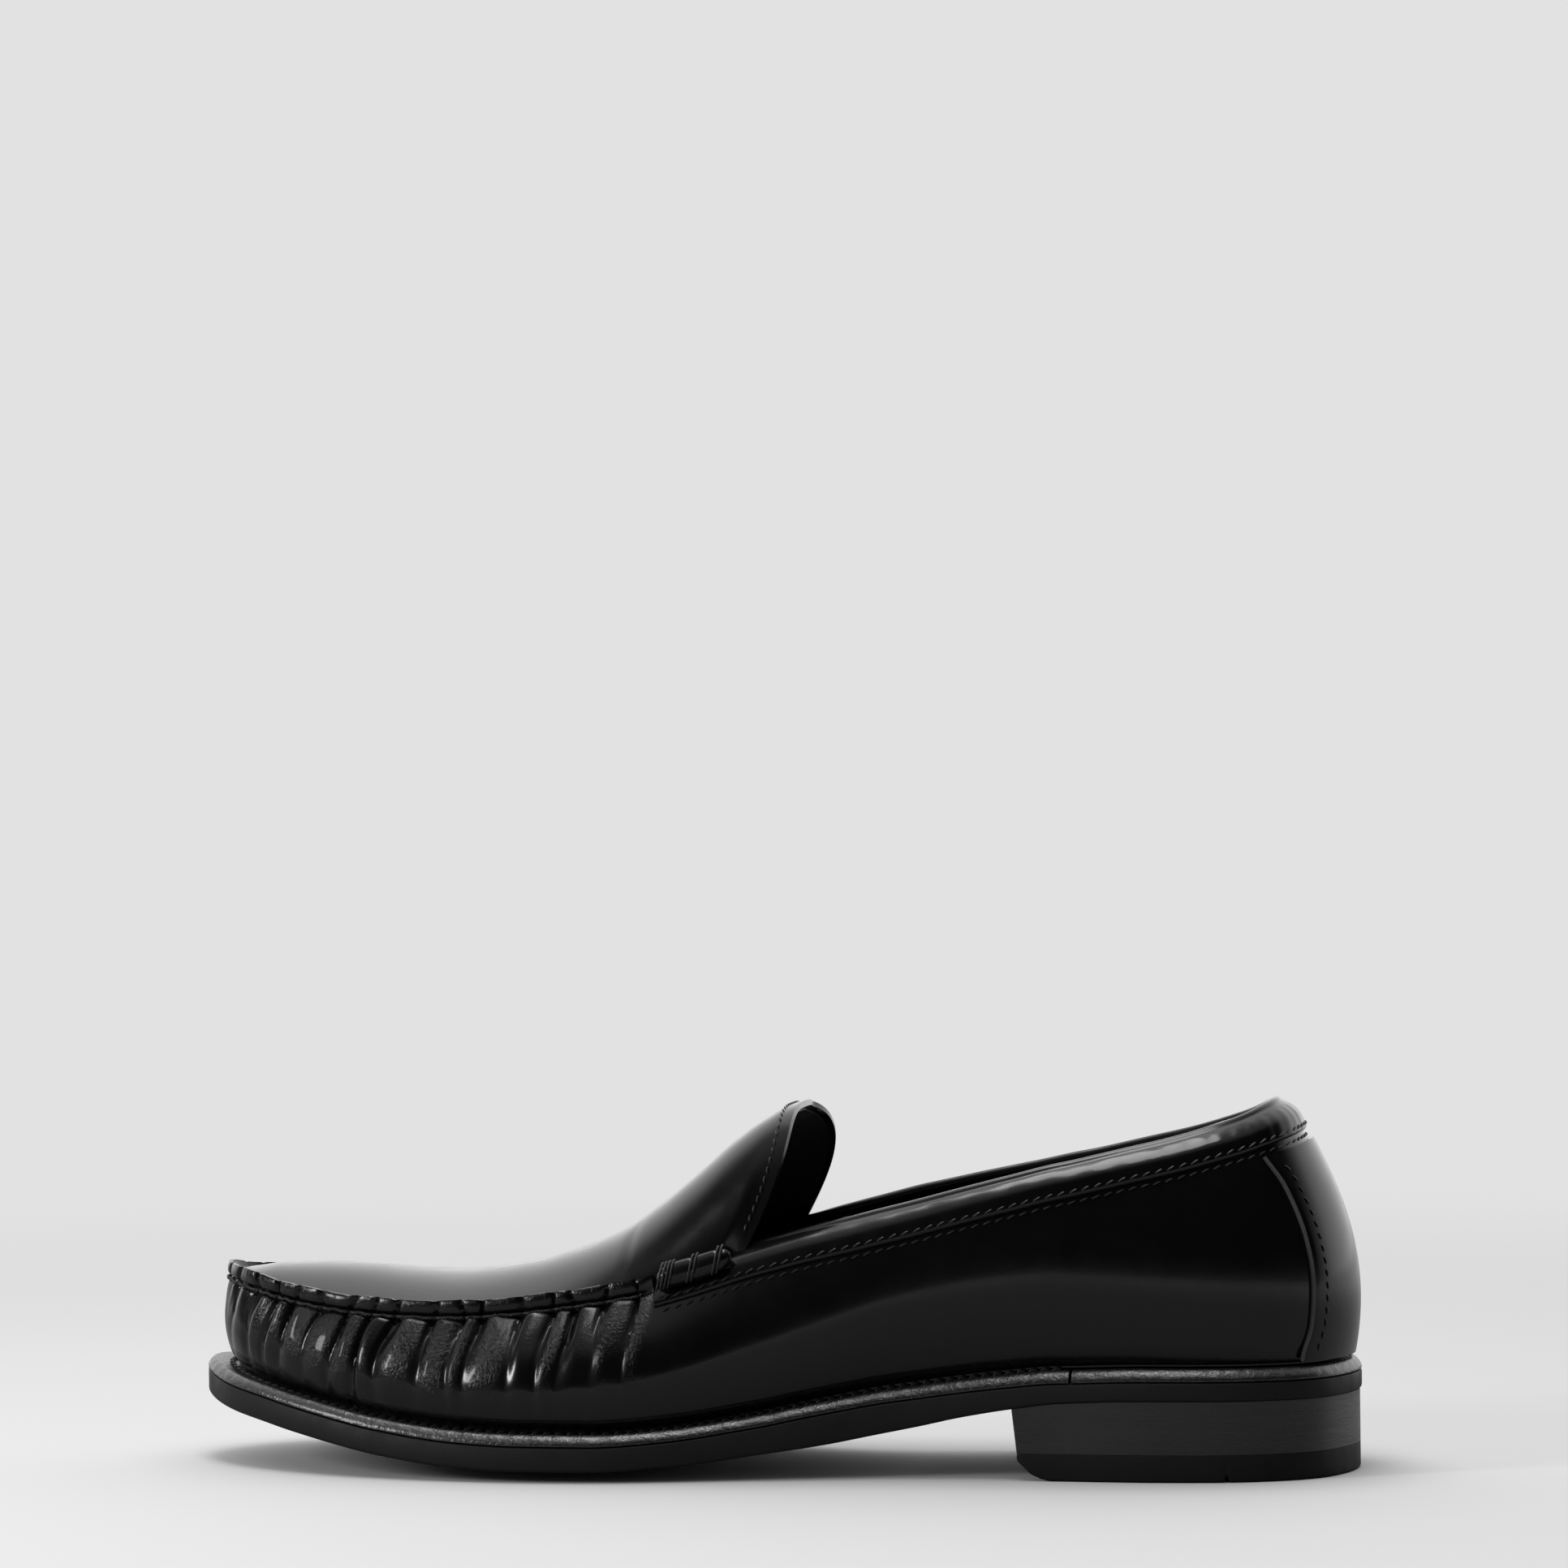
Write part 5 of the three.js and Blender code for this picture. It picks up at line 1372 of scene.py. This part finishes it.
def add_floor():
    """Pale seamless floor: lit paper near the shoe, fading into the even backdrop; its glow is dimmed by
    ambient occlusion next to the shoe, a painted contact shadow.
    """
    steps = np.linspace(0, 2 * np.pi, 97)[:-1]
    grid = np.stack([
        FLOOR_RADII * np.cos(steps)[:, None],
        FLOOR_RADII * np.sin(steps)[:, None],
        np.zeros((96, 4)),
    ], -1)
    mesh = bpy.data.meshes.new("floor")
    mesh.from_pydata(grid.reshape(-1, 3), [], grid_quads(96, 4, True))
    finish = Finish("floor_paper")
    seen = finish.nodes.new("ShaderNodeLightPath").outputs["Is Camera Ray"]
    finish.colour(seen, (FLOOR_BOUNCE,) * 3, (FLOOR_COLOUR,) * 3)
    finish.set(roughness=0.9, specular_ior_level=0.1)
    glow = finish.nodes.new("ShaderNodeEmission")
    glow.inputs["Color"].default_value = (BACKDROP, BACKDROP, BACKDROP, 1)
    length = finish.nodes.new("ShaderNodeVectorMath")
    length.operation = "LENGTH"
    finish.links.new(finish.where, length.inputs[0])
    # Painted contact shadow: the floor's glow is darkened by ambient occlusion where the shoe stands close.
    contact_shade_occlusion = finish.nodes.new("ShaderNodeAmbientOcclusion")
    contact_shade_occlusion.inputs["Distance"].default_value = CONTACT_SHADE_REACH
    glow_less_painted_shadow = finish.product(finish.product(contact_shade_occlusion.outputs["AO"], seen), FLOOR_GLOW)
    finish.shader.inputs["Emission Color"].default_value = (1, 1, 1, 1)
    finish.links.new(glow_less_painted_shadow, finish.shader.inputs["Emission Strength"])
    blend = finish.nodes.new("ShaderNodeMixShader")
    fade = finish.spread(length.outputs["Value"], *FLOOR_FADE, 0.0, 1.0)
    finish.links.new(fade, blend.inputs["Fac"])
    finish.links.new(finish.shader.outputs[0], blend.inputs[1])
    finish.links.new(glow.outputs[0], blend.inputs[2])
    finish.links.new(blend.outputs[0], finish.nodes["Material Output"].inputs["Surface"])
    mesh.materials.append(finish.material)
    floor = new_object("floor", mesh)


def add_world():
    """Even grey backdrop; the light that falls on the shoe is brighter above and behind it."""
    world = bpy.data.worlds.new("studio")
    bpy.context.scene.world = world
    world.use_nodes = True
    nodes, links = world.node_tree.nodes, world.node_tree.links
    seen = nodes["Background"]
    seen.inputs["Color"].default_value = (BACKDROP, BACKDROP, BACKDROP, 1)
    seen.inputs["Strength"].default_value = 1.0
    light = nodes.new("ShaderNodeBackground")
    split = nodes.new("ShaderNodeSeparateXYZ")
    links.new(nodes.new("ShaderNodeTexCoord").outputs["Generated"], split.inputs[0])

    def spread(axis, *numbers):
        return map_range(nodes, links, split.outputs[axis], *numbers)

    behind = spread("Y", -0.05, 0.55, 0.012, 1.6)
    above = spread("Z", 0.62, 0.92, 0.0, 0.6)
    beside = spread("X", -0.1, -0.6, 0.0, 0.14)
    total = behind
    for share in (above, beside):
        added = nodes.new("ShaderNodeMath")
        links.new(total, added.inputs[0])
        links.new(share, added.inputs[1])
        total = added.outputs[0]
    links.new(total, light.inputs["Strength"])
    choose = nodes.new("ShaderNodeMixShader")
    links.new(nodes.new("ShaderNodeLightPath").outputs["Is Camera Ray"], choose.inputs["Fac"])
    links.new(light.outputs[0], choose.inputs[1])
    links.new(seen.outputs[0], choose.inputs[2])
    links.new(choose.outputs[0], nodes["World Output"].inputs["Surface"])


def add_softbox(name, location, target, width, height, power):
    data = bpy.data.lights.new(name, "AREA")
    data.shape = "RECTANGLE"
    data.size = width
    data.size_y = height
    data.energy = power
    lamp = new_object(name, data)
    facing = (Vector(location) - Vector(target)).to_track_quat("Z", "Y").to_matrix().to_4x4()
    lamp.matrix_world = Matrix.Translation(location) @ facing


add_camera()
add_floor()
add_world()
add_softbox("top_softbox", (-0.1, -0.05, 1.2), (0, 0, 0.03), 0.9, 0.35, 7.5)
add_softbox("left_softbox", (-0.9, -0.6, 0.45), (-0.08, 0, 0.03), 0.16, 0.34, 5.5)

view = bpy.context.scene.view_settings
view.view_transform = "Standard"
view.look = "None"
